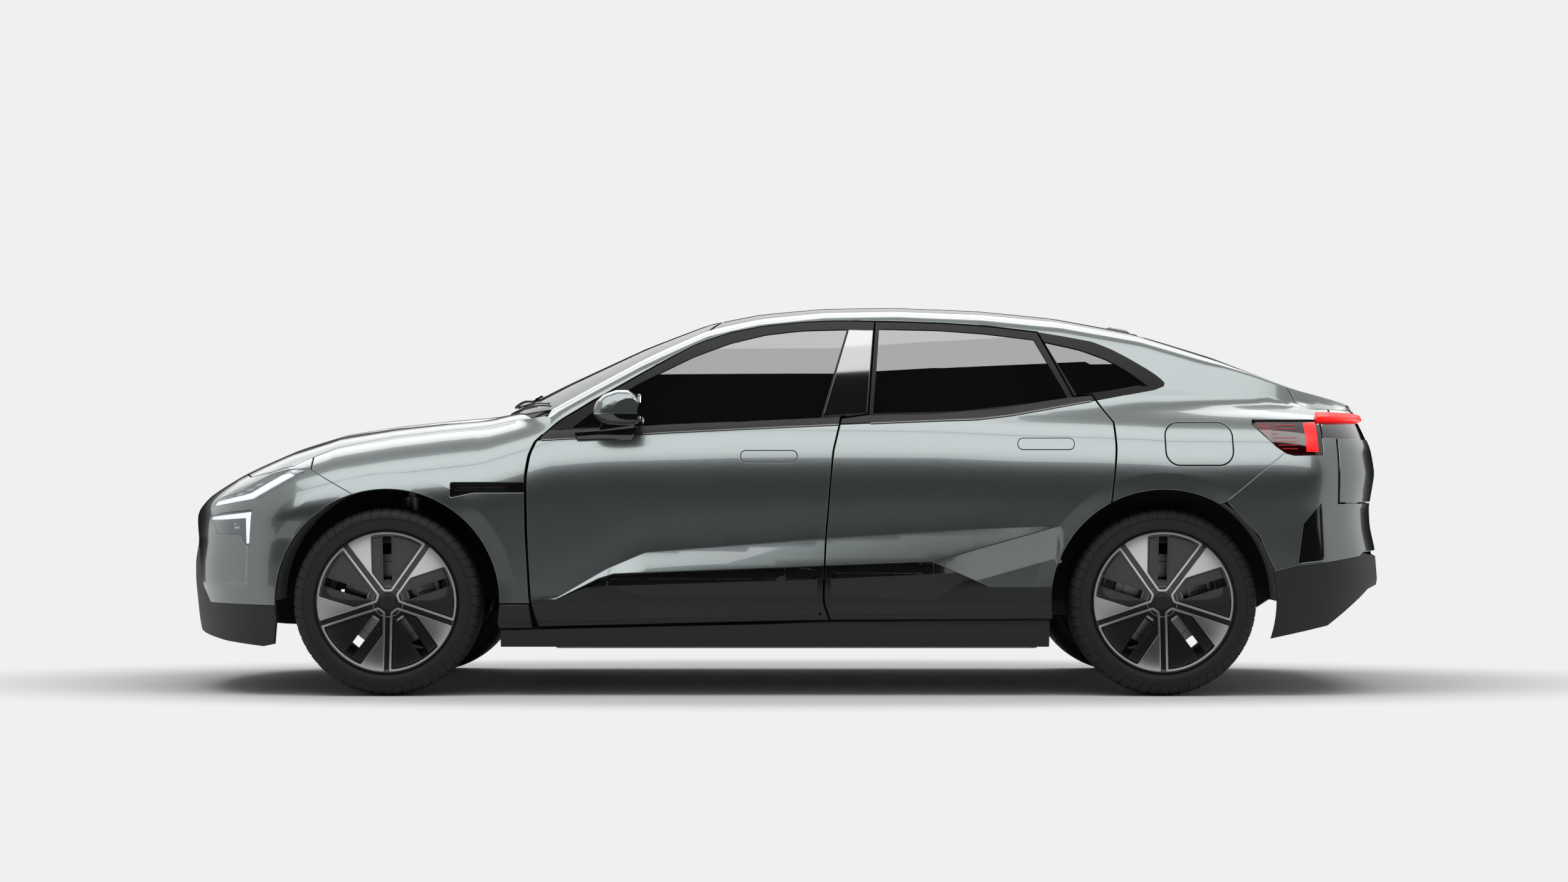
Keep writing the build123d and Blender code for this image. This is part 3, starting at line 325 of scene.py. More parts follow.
def tailPoint(a, z):  # a runs round the tail in plan
    a, z = np.asarray(a, float), np.asarray(z, float)
    q = halve(lambda v: tailAlong(v) - a, np.zeros_like(a), np.ones_like(a))
    x = tailStart + q * tailReach(z)
    drawn = np.minimum(tailStart + q * (tailTip - tailStart), sectionEnd)
    return np.stack([x, -sectionHalf(drawn, z) * tailWidth(q), z], -1)


def tailFromSide(x, z):
    q = np.clip((x - tailStart) / tailReach(z), 0, 1)
    return tailAlong(q), z


def roofPoint(x, y):
    x, y = np.asarray(x, float), np.asarray(y, float)
    return np.stack([x, y, roofHeight(x, y)], -1)


def spline(points, gap=22.0):  # a natural curve through 2-D points, sampled about every gap
    p = np.array(points, float)
    d = np.concatenate([[0], np.cumsum(np.hypot(*np.diff(p, axis=0).T))])
    fx, fy = naturalCurve(*zip(d, p[:, 0])), naturalCurve(*zip(d, p[:, 1]))
    t = np.linspace(0, d[-1], max(2, int(round(d[-1] / gap)) + 1))
    return [tuple(v) for v in np.stack([fx(t), fy(t)], -1)]


def straight(points, gap=22.0):  # a broken line, sampled about every gap
    out = []
    for (ax, ay), (bx, by) in zip(points, points[1:]):
        n = max(1, int(round(math.hypot(bx - ax, by - ay) / gap)))
        out += [(ax + (bx - ax) * i / n, ay + (by - ay) * i / n) for i in range(n)]
    return out + [tuple(points[-1])]


def ring(*runs):  # joins runs of points into one closed ring, without doubled corners
    out = []
    for run in runs:
        for p in run:
            if not out or math.hypot(p[0] - out[-1][0], p[1] - out[-1][1]) > 0.3:
                out.append((float(p[0]), float(p[1])))
    while math.hypot(out[0][0] - out[-1][0], out[0][1] - out[-1][1]) < 0.3:
        out.pop()
    return out


def closed(points, gap=22.0):  # the straight sides of a ring, sampled about every gap
    return straight(points + points[:1], gap)[:-1]


def circle(x, z, radius, count=120):
    return [(x + radius * math.cos(2 * math.pi * i / count), z + radius * math.sin(2 * math.pi * i / count))
            for i in range(count)]


def roundedBox(x0, z0, x1, z1, radius, gap=14.0):
    out = []
    for cx, cz, start in ((x1 - radius, z1 - radius, 0), (x0 + radius, z1 - radius, 90),
                          (x0 + radius, z0 + radius, 180), (x1 - radius, z0 + radius, 270)):
        for i in range(9):
            t = math.radians(start + i * 11.25)
            out.append((cx + radius * math.cos(t), cz + radius * math.sin(t)))
    return ring(straight(out + out[:1], gap))


def leftTurning(p):
    return np.sum(p[:, 0] * np.roll(p[:, 1], -1) - np.roll(p[:, 0], -1) * p[:, 1]) > 0


def grown(points, out):  # a closed ring moved outwards
    p = np.array(points)
    turn = 1 if leftTurning(p) else -1
    e = np.roll(p, -1, 0) - p
    e /= np.maximum(np.hypot(e[:, 0], e[:, 1]), 1e-9)[:, None]
    n = np.stack([e[:, 1], -e[:, 0]], -1) * turn
    m = n + np.roll(n, 1, 0)
    m /= np.maximum(1 + np.sum(n * np.roll(n, 1, 0), 1), 0.35)[:, None]
    return [tuple(v) for v in p + m * out]


def leftwards(points):  # a ring in counter-clockwise order
    return list(points) if leftTurning(np.array(points)) else list(points)[::-1]


# triangles inside every ring of keeps and outside every ring of holes
def cutSheet(keeps, holes, gap, creases):
    rings = [leftwards(r) for r in list(keeps) + list(holes)]
    pts = np.array([p for r in rings for p in r] + [p for line in creases for p in line])
    lo, hi = np.array(keeps[0]).min(0), np.array(keeps[0]).max(0)
    cols, rows = max(2, int((hi[0] - lo[0]) / gap)), max(2, int((hi[1] - lo[1]) / gap))
    gx, gy = np.meshgrid(np.linspace(lo[0], hi[0], cols + 1)[1:-1], np.linspace(lo[1], hi[1], rows + 1)[1:-1])
    grid = np.stack([gx.ravel(), gy.ravel()], -1)
    if len(grid):
        near = np.array([np.min(np.sum((pts - g) ** 2, 1)) for g in grid])
        grid = grid[near > (0.55 * gap) ** 2]
    coords = [Vector(p) for p in pts] + [Vector(p) for p in grid]
    faces, start = [], 0
    for r in rings:
        faces.append(list(range(start, start + len(r))))
        start += len(r)
    edges = []
    for line in creases:
        edges += [(start + i, start + i + 1) for i in range(len(line) - 1)]
        start += len(line)
    verts, _, tris, _, _, origin = delaunay_2d_cdt(coords, edges, faces, 0, 1e-4, True)
    inside, outside = set(range(len(keeps))), set(range(len(keeps), len(rings)))
    chosen = [t for t, o in zip(tris, origin) if inside <= set(o) and not outside & set(o)]
    flat = np.array([tuple(v) for v in verts])
    used = sorted({i for t in chosen for i in t})
    order = {v: i for i, v in enumerate(used)}
    out = []
    for t in chosen:
        t = [order[i] for i in t]
        a, b, c = (flat[used[i]] for i in t)
        if (b[0] - a[0]) * (c[1] - a[1]) - (b[1] - a[1]) * (c[0] - a[0]) < 0:
            t = t[::-1]
        for i in range(1, len(t) - 1):
            out.append((t[0], t[i], t[i + 1]))
    return flat[used], out


def sheetNormals(surface, flat, step=2.0):
    a, b = flat[:, 0], flat[:, 1]
    da = surface(a + step, b) - surface(a - step, b)
    db = surface(a, b + step) - surface(a, b - step)
    n = np.cross(da, db)
    size = np.linalg.norm(n, axis=1)
    good = np.isfinite(size) & (size > 1e-4)
    n[good] /= size[good][:, None]
    for i in np.flatnonzero(~good):  # a point where the chart folds up takes its nearest neighbour's normal
        n[i] = n[good][np.argmin(np.sum((flat[good] - flat[i]) ** 2, 1))]
    return n


def slab(surface, keeps, holes, depth, gap, edge, lift=0.0, creases=(), seam=False, face=None):
    flat, tris = cutSheet(keeps, holes, gap, creases)
    place = surface(flat[:, 0], flat[:, 1])
    normal = sheetNormals(face or surface, flat)
    centre = np.array([place[:, 0].mean() * 0.5, 0, 500])
    if np.sum(normal * (place - centre)) < 0:
        normal = -normal
    a, b, c = (place[[t[k] for t in tris]] for k in range(3))
    if np.sum(np.cross(b - a, c - a) * normal[[t[0] for t in tris]]) < 0:
        tris = [t[::-1] for t in tris]
    place = place + normal * lift
    edges = {}
    for t in tris:
        for i, j in ((t[0], t[1]), (t[1], t[2]), (t[2], t[0])):
            edges[i, j] = edges.get((i, j), 0) + 1
    after, before = {}, {}
    for i, j in edges:
        if (j, i) not in edges:
            after[i], before[j] = j, i
    rim = [i for i in after if i in before]
    count = len(place)
    spot = {v: k for k, v in enumerate(rim)}
    onSeam = np.abs(place[:, 1]) < 1.0 if seam else np.zeros(count, bool)
    place[onSeam, 1], normal[onSeam, 1] = 0, 0
    normal /= np.maximum(np.linalg.norm(normal, axis=1), 1e-9)[:, None]
    ahead = np.array([after[i] if not onSeam[i] or not onSeam[after[i]] else i for i in rim])
    behind = np.array([before[i] if not onSeam[i] or not onSeam[before[i]] else i for i in rim])
    along = place[ahead] - place[behind]
    side = np.cross(along, normal[rim])
    side /= np.maximum(np.linalg.norm(side, axis=1), 1e-9)[:, None]
    side[onSeam[rim], 1] = 0
    side /= np.maximum(np.linalg.norm(side, axis=1), 1e-9)[:, None]
    side[(ahead == behind)] = 0
    corner, inward = place[rim], normal[rim]
    place = place.copy()
    place[rim] = corner - side * edge
    ring1 = corner - side * edge * 0.293 - inward * edge * 0.293
    ring2 = corner - inward * edge
    ring3 = corner - inward * depth
    inner = [i for i in range(count) if i not in spot]
    backSpot = {v: count + 3 * len(rim) + k for k, v in enumerate(inner)}
    back = place[inner] - normal[inner] * depth
    verts = np.concatenate([place, ring1, ring2, ring3, back])
    mid = (inward + side) / math.sqrt(2)
    faces, loops = [], []
    for t in tris:
        faces.append(t)
        loops += [normal[i] for i in t]
    r1, r2, r3 = count, count + len(rim), count + 2 * len(rim)
    for k, i in enumerate(rim):
        j = after[i]
        if j not in spot or onSeam[i] and onSeam[j]:
            continue
        m = spot[j]
        faces.append((j, i, r1 + k, r1 + m))
        loops += [inward[m], inward[k], mid[k], mid[m]]
        faces.append((r1 + m, r1 + k, r2 + k, r2 + m))
        loops += [mid[m], mid[k], side[k], side[m]]
        faces.append((r2 + m, r2 + k, r3 + k, r3 + m))
        loops += [side[m], side[k], side[k], side[m]]
    for t in tris:
        faces.append(tuple((r3 + spot[i]) if i in spot else backSpot[i] for i in t[::-1]))
        loops += [-normal[i] for i in t[::-1]]
    return verts, faces, np.array(loops)


def mirrored(shell):
    verts, faces, loops = shell
    if loops is not None:
        out, at = [], 0
        for f in faces:
            out.append(loops[at:at + len(f)][::-1] * [1, -1, 1])
            at += len(f)
        loops = np.concatenate(out)
    return verts * [1, -1, 1], [tuple(f[::-1]) for f in faces], loops


ways = {"left": lambda shell: shell, "right": mirrored}


def joined(*shells):
    verts, faces, loops, start = [], [], [], 0
    for v, f, n in shells:
        verts.append(v)
        faces += [tuple(i + start for i in face) for face in f]
        loops.append(n)
        start += len(v)
    return np.concatenate(verts), faces, np.concatenate(loops)


def bothSides(shell):
    return joined(shell, mirrored(shell))


def meshOf(name, verts, faces, *materials):  # verts in mm
    mesh = bpy.data.meshes.new(name)
    mesh.from_pydata([tuple(v) for v in np.asarray(verts) / 1000], [], [tuple(f) for f in faces])
    for material in materials:
        mesh.materials.append(material)
    return mesh


def linked(name, data):
    piece = bpy.data.objects.new(name, data)
    bpy.context.scene.collection.objects.link(piece)
    return piece


def settle(piece, body, replaces):
    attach(piece, body)
    if replaces:
        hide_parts(*replaces)


def put(name, shell, material, body, replaces=()):
    verts, faces, loops = shell
    mesh = meshOf(name, verts, faces, material)
    mesh.shade_smooth()
    mesh.normals_split_custom_set([tuple(n) for n in loops])
    mesh.validate()
    settle(linked(name, mesh), body, replaces)


# body and replaces end in _left; the right follows
def putPair(name, shell, material, body, replaces=()):
    for piece, half, side in ((name + "Left", shell, "left"), (name + "Right", mirrored(shell), "right")):
        put(piece, half, material, f"{body}_{side}", [f"{n}_{side}" for n in replaces])


def solid(verts, faces):  # a closed shell whose edges are smooth or sharp by the angle between faces
    return np.asarray(verts, float), [tuple(f) for f in faces], None


def putSolid(name, shell, material, body, replaces=(), angle=40, bevel=0.0):
    mesh = meshOf(name, shell[0], shell[1], material)
    work = bmesh.new()
    work.from_mesh(mesh)
    bmesh.ops.remove_doubles(work, verts=work.verts, dist=1e-6)
    bmesh.ops.recalc_face_normals(work, faces=work.faces)
    if bevel:
        sharp = [e for e in work.edges if len(e.link_faces) == 2
                 and e.calc_face_angle(0) > math.radians(angle)]
        bmesh.ops.bevel(work, geom=sharp, offset=bevel / 1000, segments=2, profile=0.6, affect="EDGES",
                        clamp_overlap=True)
    work.to_mesh(mesh)
    work.free()
    mesh.shade_smooth()
    mesh.set_sharp_from_angle(angle=math.radians(angle))
    settle(linked(name, mesh), body, replaces)


def faceOutwards(mesh):
    work = bmesh.new()
    work.from_mesh(mesh)
    bmesh.ops.recalc_face_normals(work, faces=work.faces)
    work.to_mesh(mesh)
    work.free()


def bandFaces(rows, n, wrap=False):  # quads between rows of n points, each row a closed loop
    return [(k * n + i, k * n + (i + 1) % n, (k + 1) % rows * n + (i + 1) % n, (k + 1) % rows * n + i)
            for k in range(rows if wrap else rows - 1) for i in range(n)]


def cappedBand(rows, n):
    return bandFaces(rows, n) + [tuple(range(n))[::-1], tuple(range((rows - 1) * n, rows * n))]


def prism(ringPoints, low, high, plane="xz"):  # a closed ring pushed along the third axis
    n = len(ringPoints)
    make = {"xz": lambda p, t: (p[0], t, p[1]),
            "xy": lambda p, t: (p[0], p[1], t),
            "yz": lambda p, t: (t, p[0], p[1])}[plane]
    verts = [make(p, low) for p in ringPoints] + [make(p, high) for p in ringPoints]
    faces = [tuple(range(n)), tuple(range(2 * n - 1, n - 1, -1))]
    faces += [(i, i + n, (i + 1) % n + n, (i + 1) % n) for i in range(n)]
    return solid(verts, faces)


def block(x0, x1, y0, y1, z0, z1):
    return prism([(x0, z0), (x1, z0), (x1, z1), (x0, z1)], y0, y1)


def gathered(*shells):
    verts, faces = [], []
    for v, f, _ in shells:
        faces += [tuple(i + len(verts) for i in face) for face in f]
        verts += [tuple(p) for p in v]
    return solid(verts, faces)


def lathe(profile, count):  # a closed profile of (radius, y) turned about the y axis
    verts = []
    for k in range(count):
        t = 2 * math.pi * k / count
        verts += [(r * math.cos(t), y, r * math.sin(t)) for r, y in profile]
    return solid(verts, bandFaces(count, len(profile), True))


# finishes
def dialled(node, values):
    for socket, value in values.items():
        node.inputs[socket].default_value = value
    return node


def fresh(tree, kind, values=()):  # a new shader node with some of its sockets set
    return dialled(tree.nodes.new("ShaderNode" + kind), dict(values))


def finish(name, colour, rough, metal=0.0, coat=0.0, coatRough=0.03, bump=0.0, grain=900.0, vary=0.0,
           ior=1.45, sheen=0.0, through=0.0, glow=None, glowPower=1.0, detail=3.0, level=0.5, roughVary=0.0,
           kind="NOISE"):
    m = bpy.data.materials.new(name)
    m.use_nodes = True
    t = m.node_tree
    link = t.links.new
    b = dialled(t.nodes["Principled BSDF"],
                {"Base Color": (*colour, 1), "Roughness": rough, "Metallic": metal, "Coat Weight": coat,
                 "Coat Roughness": coatRough, "IOR": ior, "Sheen Weight": sheen,
                 "Transmission Weight": through, "Specular IOR Level": level})
    if glow:
        dialled(b, {"Emission Color": (*glow, 1), "Emission Strength": glowPower})
    where = fresh(t, "TexCoord").outputs["Object"]
    if kind == "WEAVE":
        waves = [fresh(t, "TexWave", {"Scale": grain, "Distortion": 0.6}) for _ in range(2)]
        mixer = fresh(t, "Math")
        mixer.operation = "MULTIPLY"
        for k, (wave, way) in enumerate(zip(waves, ("X", "Z"))):
            wave.bands_direction = way
            link(where, wave.inputs["Vector"])
            link(wave.outputs["Fac"], mixer.inputs[k])
        value = mixer.outputs[0]
    else:
        tex = (fresh(t, "TexVoronoi", {"Scale": grain}) if kind == "VORONOI"
               else fresh(t, "TexNoise", {"Scale": grain, "Detail": detail}))
        link(where, tex.inputs["Vector"])
        value = tex.outputs["Distance" if kind == "VORONOI" else "Fac"]
    if bump:
        relief = fresh(t, "Bump", {"Strength": bump, "Distance": 0.001})
        link(value, relief.inputs["Height"])
        link(relief.outputs["Normal"], b.inputs["Normal"])
    if vary:
        ramp = fresh(t, "ValToRGB")
        low, high = ramp.color_ramp.elements
        low.position, high.position = 0.3, 0.7
        low.color = (*[c * (1 - vary) for c in colour], 1)
        high.color = (*[min(1, c * (1 + vary)) for c in colour], 1)
        link(value, ramp.inputs["Fac"])
        link(ramp.outputs["Color"], b.inputs["Base Color"])
    if roughVary:
        wide = fresh(t, "TexNoise", {"Scale": 6.0})
        link(where, wide.inputs["Vector"])
        span = fresh(t, "MapRange", {"To Min": max(0.0, rough - roughVary), "To Max": rough + roughVary})
        link(wide.outputs["Fac"], span.inputs["Value"])
        link(span.outputs["Result"], b.inputs["Roughness"])
    return m


paintLook = {"colour": (0.138, 0.156, 0.156), "rough": 0.25, "flakes": 5200.0, "flakeDepth": 0.035}
paint = finish("metallicPaint", paintLook["colour"], paintLook["rough"], metal=0.92, coat=1.0, coatRough=0.02,
               bump=paintLook["flakeDepth"], grain=paintLook["flakes"], vary=0.06, kind="VORONOI",
               roughVary=0.01)
gloss = finish("glossBlack", (0.006, 0.006, 0.007), 0.12, coat=1.0, bump=0.01, grain=40.0, level=0.6,
               roughVary=0.02)
pillarGloss = finish("pillarGloss", (0.012, 0.012, 0.013), 0.05, coat=1.0, bump=0.005, grain=30.0, level=1.0,
                     ior=2.0, roughVary=0.01)
cladding = finish("grainedCladding", (0.016, 0.0165, 0.017), 0.58, bump=0.25, grain=1400.0, vary=0.12,
                  detail=5)
brightTrim = finish("satinBright", (0.62, 0.63, 0.64), 0.28, metal=1.0, bump=0.02, grain=600.0,
                    roughVary=0.05)
machined = finish("machinedAlloy", (0.60, 0.605, 0.61), 0.30, metal=0.95, coat=0.25, bump=0.03, grain=800.0,
                  roughVary=0.05)
wheelBlack = finish("wheelBlack", (0.012, 0.012, 0.013), 0.30, coat=0.6, bump=0.03, grain=500.0,
                    roughVary=0.05)
rubber = finish("tyreRubber", (0.011, 0.011, 0.0115), 0.66, bump=0.22, grain=1100.0, vary=0.15, detail=4)
glassDark = finish("tintedGlass", (0.030, 0.033, 0.034), 0.0, through=0.97, ior=2.25, level=0.5, bump=0.004,
                   grain=3.0, roughVary=0.01)
glassClear = finish("screenGlass", (0.46, 0.50, 0.50), 0.02, through=0.95, ior=1.5, bump=0.004, grain=3.0,
                    roughVary=0.01)
frameBlack = finish("frameBlack", (0.010, 0.010, 0.011), 0.42, bump=0.05, grain=500.0, level=0.35,
                    roughVary=0.03)
lensClear = finish("lampLens", (0.82, 0.85, 0.87), 0.03, through=0.95, ior=1.4, bump=0.01, grain=60.0,
                   roughVary=0.01)
lampBlack = finish("lampHousing", (0.02, 0.021, 0.023), 0.22, coat=0.6, bump=0.05, grain=300.0,
                   roughVary=0.04)
lampWhite = finish("lampWhite", (0.92, 0.94, 0.96), 0.4, glow=(0.97, 0.985, 1.0), glowPower=0.75, bump=0.03,
                   grain=700.0)
lensRed = finish("redLens", (0.105, 0.020, 0.022), 0.10, coat=1.0, bump=0.06, grain=160.0, vary=0.25,
                 roughVary=0.03)
lensDark = finish("darkRedLens", (0.020, 0.002, 0.0025), 0.08, coat=1.0, bump=0.03, grain=160.0, vary=0.2,
                  roughVary=0.02)
lampStreak = finish("redStreak", (0.30, 0.008, 0.008), 0.3, coat=0.6, glow=(1.0, 0.02, 0.02), glowPower=0.10,
                    bump=0.02, grain=500.0)
lampRed = finish("redLight", (0.60, 0.004, 0.004), 0.3, glow=(1.0, 0.012, 0.012), glowPower=0.72, bump=0.02,
                 grain=500.0)
leather = finish("seatLeather", (0.028, 0.028, 0.030), 0.46, bump=0.30, grain=420.0, vary=0.12, detail=6,
                 sheen=0.1, kind="VORONOI")
woven = finish("seatTextile", (0.052, 0.053, 0.056), 0.82, bump=0.5, grain=260.0, vary=0.35, sheen=0.4,
               kind="WEAVE")
trimSoft = finish("softTrim", (0.022, 0.0225, 0.024), 0.62, bump=0.22, grain=900.0, vary=0.12, detail=4)
screenFace = finish("displayGlass", (0.008, 0.010, 0.014), 0.06, coat=1.0, bump=0.003, grain=4.0,
                    roughVary=0.01)
mirrorFace = finish("mirrorGlass", (0.80, 0.82, 0.83), 0.02, metal=1.0, bump=0.002, grain=4.0,
                    roughVary=0.005)
castMetal = finish("castAlloy", (0.34, 0.35, 0.36), 0.48, metal=0.9, bump=0.25, grain=500.0, vary=0.18)
steel = finish("bareSteel", (0.30, 0.31, 0.32), 0.36, metal=1.0, bump=0.12, grain=300.0, vary=0.2,
               roughVary=0.08)
felt = finish("archFelt", (0.010, 0.010, 0.0105), 0.95, bump=0.6, grain=1600.0, vary=0.3, sheen=0.3)
underPaint = finish("underbodyCoat", (0.05, 0.052, 0.054), 0.6, metal=0.2, bump=0.3, grain=300.0, vary=0.2)
caliperPaint = finish("caliperPaint", (0.11, 0.112, 0.115), 0.35, metal=0.6, coat=0.4, bump=0.1, grain=400.0)
seam = finish("shutSeal", (0.006, 0.006, 0.006), 0.9, bump=0.2, grain=700.0)
print("stage: finishes made")

slotFinishes = {"body_paint": paint, "tinted_glass": glassDark, "gloss_black": gloss,
                "grey_cladding": cladding, "wheel_alloy": wheelBlack, "tyre_rubber": rubber,
                "bright_steel": steel, "cast_alloy": castMetal, "seat_leather": leather,
                "cabin_trim": trimSoft, "lamp_lens": lampBlack, "red_lens": lensRed}
nodeFinishes = {"floor_pan": underPaint, "wheel_liners": felt, "side_frames": seam, "windscreen": glassClear}
for node, carried in frame["nodes"].items():
    look = nodeFinishes.get(node) or slotFinishes[carried.data.materials[0].name.split(".")[0]]
    carried.data.materials.clear()
    carried.data.materials.append(look)

# body side lines, (station, height)
shutGap = 6.0
frontDoorNose = [(-951, 265), (-978, 362), (-994, 631), (-997, 850), (-984, 935), (-962, 985)]
doorTop = [(-962, 985), (-873, 1066), (-729, 1154), (-569, 1247), (-353, 1372), (-211, 1425), (-69, 1453),
           (73, 1467), (215, 1471), (360, 1467)]
rearDoorTop = [(360, 1467), (618, 1459), (800, 1446), (1000, 1422)]
doorSplit = [(328, 1091), (222, 1076), (191, 947), (163, 631), (153, 362), (177, 292)]
rearDoorTail = [(1131, 1162), (1203, 1169), (1279, 1060), (1284, 960), (1276, 860), (1262, 745)]
beltTop = [(-990, 990), (-914, 1027), (-858, 1031), (-562, 1042), (-487, 1049), (-138, 1064), (212, 1080),
           (324, 1087), (609, 1094), (691, 1102), (821, 1113), (952, 1133), (1115, 1158), (1212, 1173),
           (1395, 1208)]
beltFoot = [(-1010, 982), (-965, 988), (-579, 1010), (-486, 1017), (-137, 1034), (212, 1050), (608, 1066),
            (755, 1071), (886, 1087), (1016, 1110), (1146, 1134), (1218, 1146), (1433, 1182)]
hoodSide = [(-1911, -818), (-1750, -775), (-1550, -748), (-1300, -735), (-1087, -738), (-985, -765)]
hoodFront = [(-2185, 0), (-2162, -450), (-2100, -690), (-2010, -775), (-1911, -818)]
scuttleLine = [(-985, -765), (-1060, -560), (-1130, -300), (-1168, 0)]
screenFoot = [(-1138, 0), (-1100, -300), (-1030, -560), (-912, -752)]
screenSide = [(-912, -752), (-625, -668), (-466, -604), (-300, -556)]
screenHead = [(-300, -556), (-262, -300), (-250, 0)]
roofGlassHead = [(-238, 0), (-250, -300), (-285, -546)]
roofGlassSide = [(-285, -546), (0, -512), (500, -498), (1000, -490), (1425, -470)]
quarterTop = [(1024, 1381), (1164, 1349), (1269, 1310), (1350, 1262), (1431, 1202)]
quarterFoot = [(1380, 1204), (1270, 1184), (1144, 1166)]
frontGlass = ring(spline([(-825, 1036), (-729, 1112), (-569, 1212), (-353, 1321), (-211, 1375), (-69, 1410),
                          (73, 1426), (250, 1431)]), straight([(250, 1431), (144, 1078)]),
                  spline([(144, 1078), (-138, 1064), (-487, 1049), (-825, 1036)]))
rearGlass = ring(spline([(374, 1433), (618, 1427), (800, 1413), (985, 1390)]),
                 straight([(985, 1390), (1108, 1158)]),
                 spline([(1108, 1158), (952, 1134), (691, 1104), (346, 1094)]),
                 straight([(346, 1094), (374, 1433)]))
quarterGlass = ring(spline(quarterTop), straight([(1431, 1202), (1380, 1204)]), spline(quarterFoot),
                    straight([(1144, 1166), (1024, 1381)]))
frontDoor = ring(spline(frontDoorNose), spline(doorTop), straight([(360, 1467), (328, 1091)]),
                 straight([(328, 1091), (222, 1076)]), spline(doorSplit[1:]),
                 straight([(177, 292), (-951, 265)]))
rearDoor = ring(spline(doorSplit[:0:-1]), straight([(222, 1076), (328, 1091), (360, 1467)]),
                spline(rearDoorTop), straight([(1000, 1422), (1131, 1162)]),
                straight([(1131, 1162), (1203, 1169)]), straight([(1203, 1169), (1279, 1060)]),
                spline(rearDoorTail[2:]), straight([(1262, 745), (1262, 297), (177, 292)]))
frontArch, rearArch = circle(*frontAxle, frontArchRadius), circle(*rearAxle, rearArchRadius)
aboveFoot = ring(spline(beltFoot, 30), [(1433, 1700), (-1100, 1700), (-1100, 982)])
belowFoot = ring(spline(beltFoot, 30), [(1433, 100), (-1100, 100), (-1100, 982)])
aboveBelt = ring(spline(beltTop, 30), [(1395, 1700), (-1100, 1700), (-1100, 990)])
belowBelt = ring(spline(beltTop, 30), [(1395, 100), (-1100, 100), (-1100, 990)])
paintFoot = [(-1102, 360), (-881, 373), (-716, 455), (-657, 473), (162, 506), (568, 522), (657, 482),
             (792, 422), (1028, 419), (1300, 419)]
claddingTop = [(-1102, 360), (-881, 373), (-761, 422), (162, 452), (672, 475), (792, 422), (1028, 419),
               (1300, 419)]
belowPaint = ring(straight(paintFoot, 30), [(1300, 100), (-1102, 100)])
abovePaint = ring(straight(paintFoot, 30), [(1300, 1700), (-1102, 1700)])
belowStrip = ring(straight(claddingTop, 30), [(1300, 100), (-1102, 100)])
aboveStrip = ring(straight(claddingTop, 30), [(1300, 1700), (-1102, 1700)])


def creaseLines(line, x0, x1, apart=3.5, gap=20.0):  # two lines that follow a crease, one each side of it
    xs = np.linspace(x0, x1, max(2, int((x1 - x0) / gap)))
    return [[(x, float(line(x)) + s * apart) for x in xs] for s in (-1, 1)]


def archLines(axle, edge):  # the same round an arch's facet
    return [[(axle[0] + r * math.cos(t), axle[1] + r * math.sin(t)) for t in np.linspace(0, math.pi, 90)]
            for r in (edge + archFacet["width"] - 2.5, edge + archFacet["width"] + 2.5)]


frontArchLines, rearArchLines = archLines(frontAxle, frontArchRadius), archLines(rearAxle, rearArchRadius)


claddingHalf = steady((180, 924), (286, 953), (291, 968), (363, 984), (452, 963), (470, 958), (520, 950))


def claddingPoint(x, z):  # the moulding along the foot of the doors, with its crease
    x, z = np.asarray(x, float), np.asarray(z, float)
    y = sum(claddingHalf(z + tap) * weight for tap, weight in ((-5, 0.25), (0, 0.5), (5, 0.25)))
    return np.stack([x, -y, z], -1)


# panel settings: depth, gap between points, radius of the rolled edge
doorLook = {"skin": (14.0, 20.0, 2.2), "handle": (12, 14, 1.2), "well": (8, 20, 0.8),
            "cladding": (14, 18, 2.5), "strip": (10, 16, 1.5), "frame": (20, 16, 1.2), "belt": (16, 16, 4.0),
            "glass": (4.5, 24, 0.6), "card": (60, 40, 6)}
half = shutGap / 2


def doorPieces(side, door, glassRing, handle, creases):
    leaf = grown(door, -half)
    holes = [rearArch] if side == "Rear" else []
    grip = roundedBox(*handle, 20)
    body = f"door_{side.lower()}"
    skin = slab(sidePoint, [leaf, belowFoot, abovePaint], holes + [grown(grip, 1.6)], *doorLook["skin"],
                creases=creases, face=sideFace)
    putPair(f"doorSkin{side}", skin, paint, body, [body])
    lever = slab(sidePoint, [grip], [], *doorLook["handle"], lift=0.4)
    putPair(f"doorHandle{side}", lever, paint, body)
    well = slab(sidePoint, [grown(grip, 5)], [], *doorLook["well"], lift=-14.5)
    putPair(f"handleWell{side}", well, seam, body)
    lower = slab(claddingPoint, [grown(leaf, -0.5), belowStrip], holes, *doorLook["cladding"])
    putPair(f"doorCladding{side}", lower, cladding, body)
    strip = slab(sidePoint, [leaf, aboveStrip, belowPaint], holes, *doorLook["strip"], lift=-16)
    putPair(f"doorStrip{side}", strip, gloss, body)
    frameSkin = slab(sidePoint, [leaf, aboveBelt], [grown(glassRing, -0.6)], *doorLook["frame"], lift=-1.5,
                     face=glassFace)
    belt = slab(sidePoint, [leaf, aboveFoot, belowBelt], [], *doorLook["belt"], lift=2.5)
    putPair(f"doorFrame{side}", joined(frameSkin, belt), frameBlack, body)
    pane = slab(sidePoint, [grown(glassRing, -1.2)], [], *doorLook["glass"], lift=-5.5, face=glassFace)
    putPair(f"doorGlass{side}", pane, glassDark, body, [f"door_glass_{side.lower()}"])
    inner = grown(door, -24)
    card = slab(sidePoint, [inner, belowFoot], holes and [circle(*rearAxle, 462)], *doorLook["card"],
                lift=-16)
    putPair(f"doorCard{side}", card, trimSoft, body)
    return inner


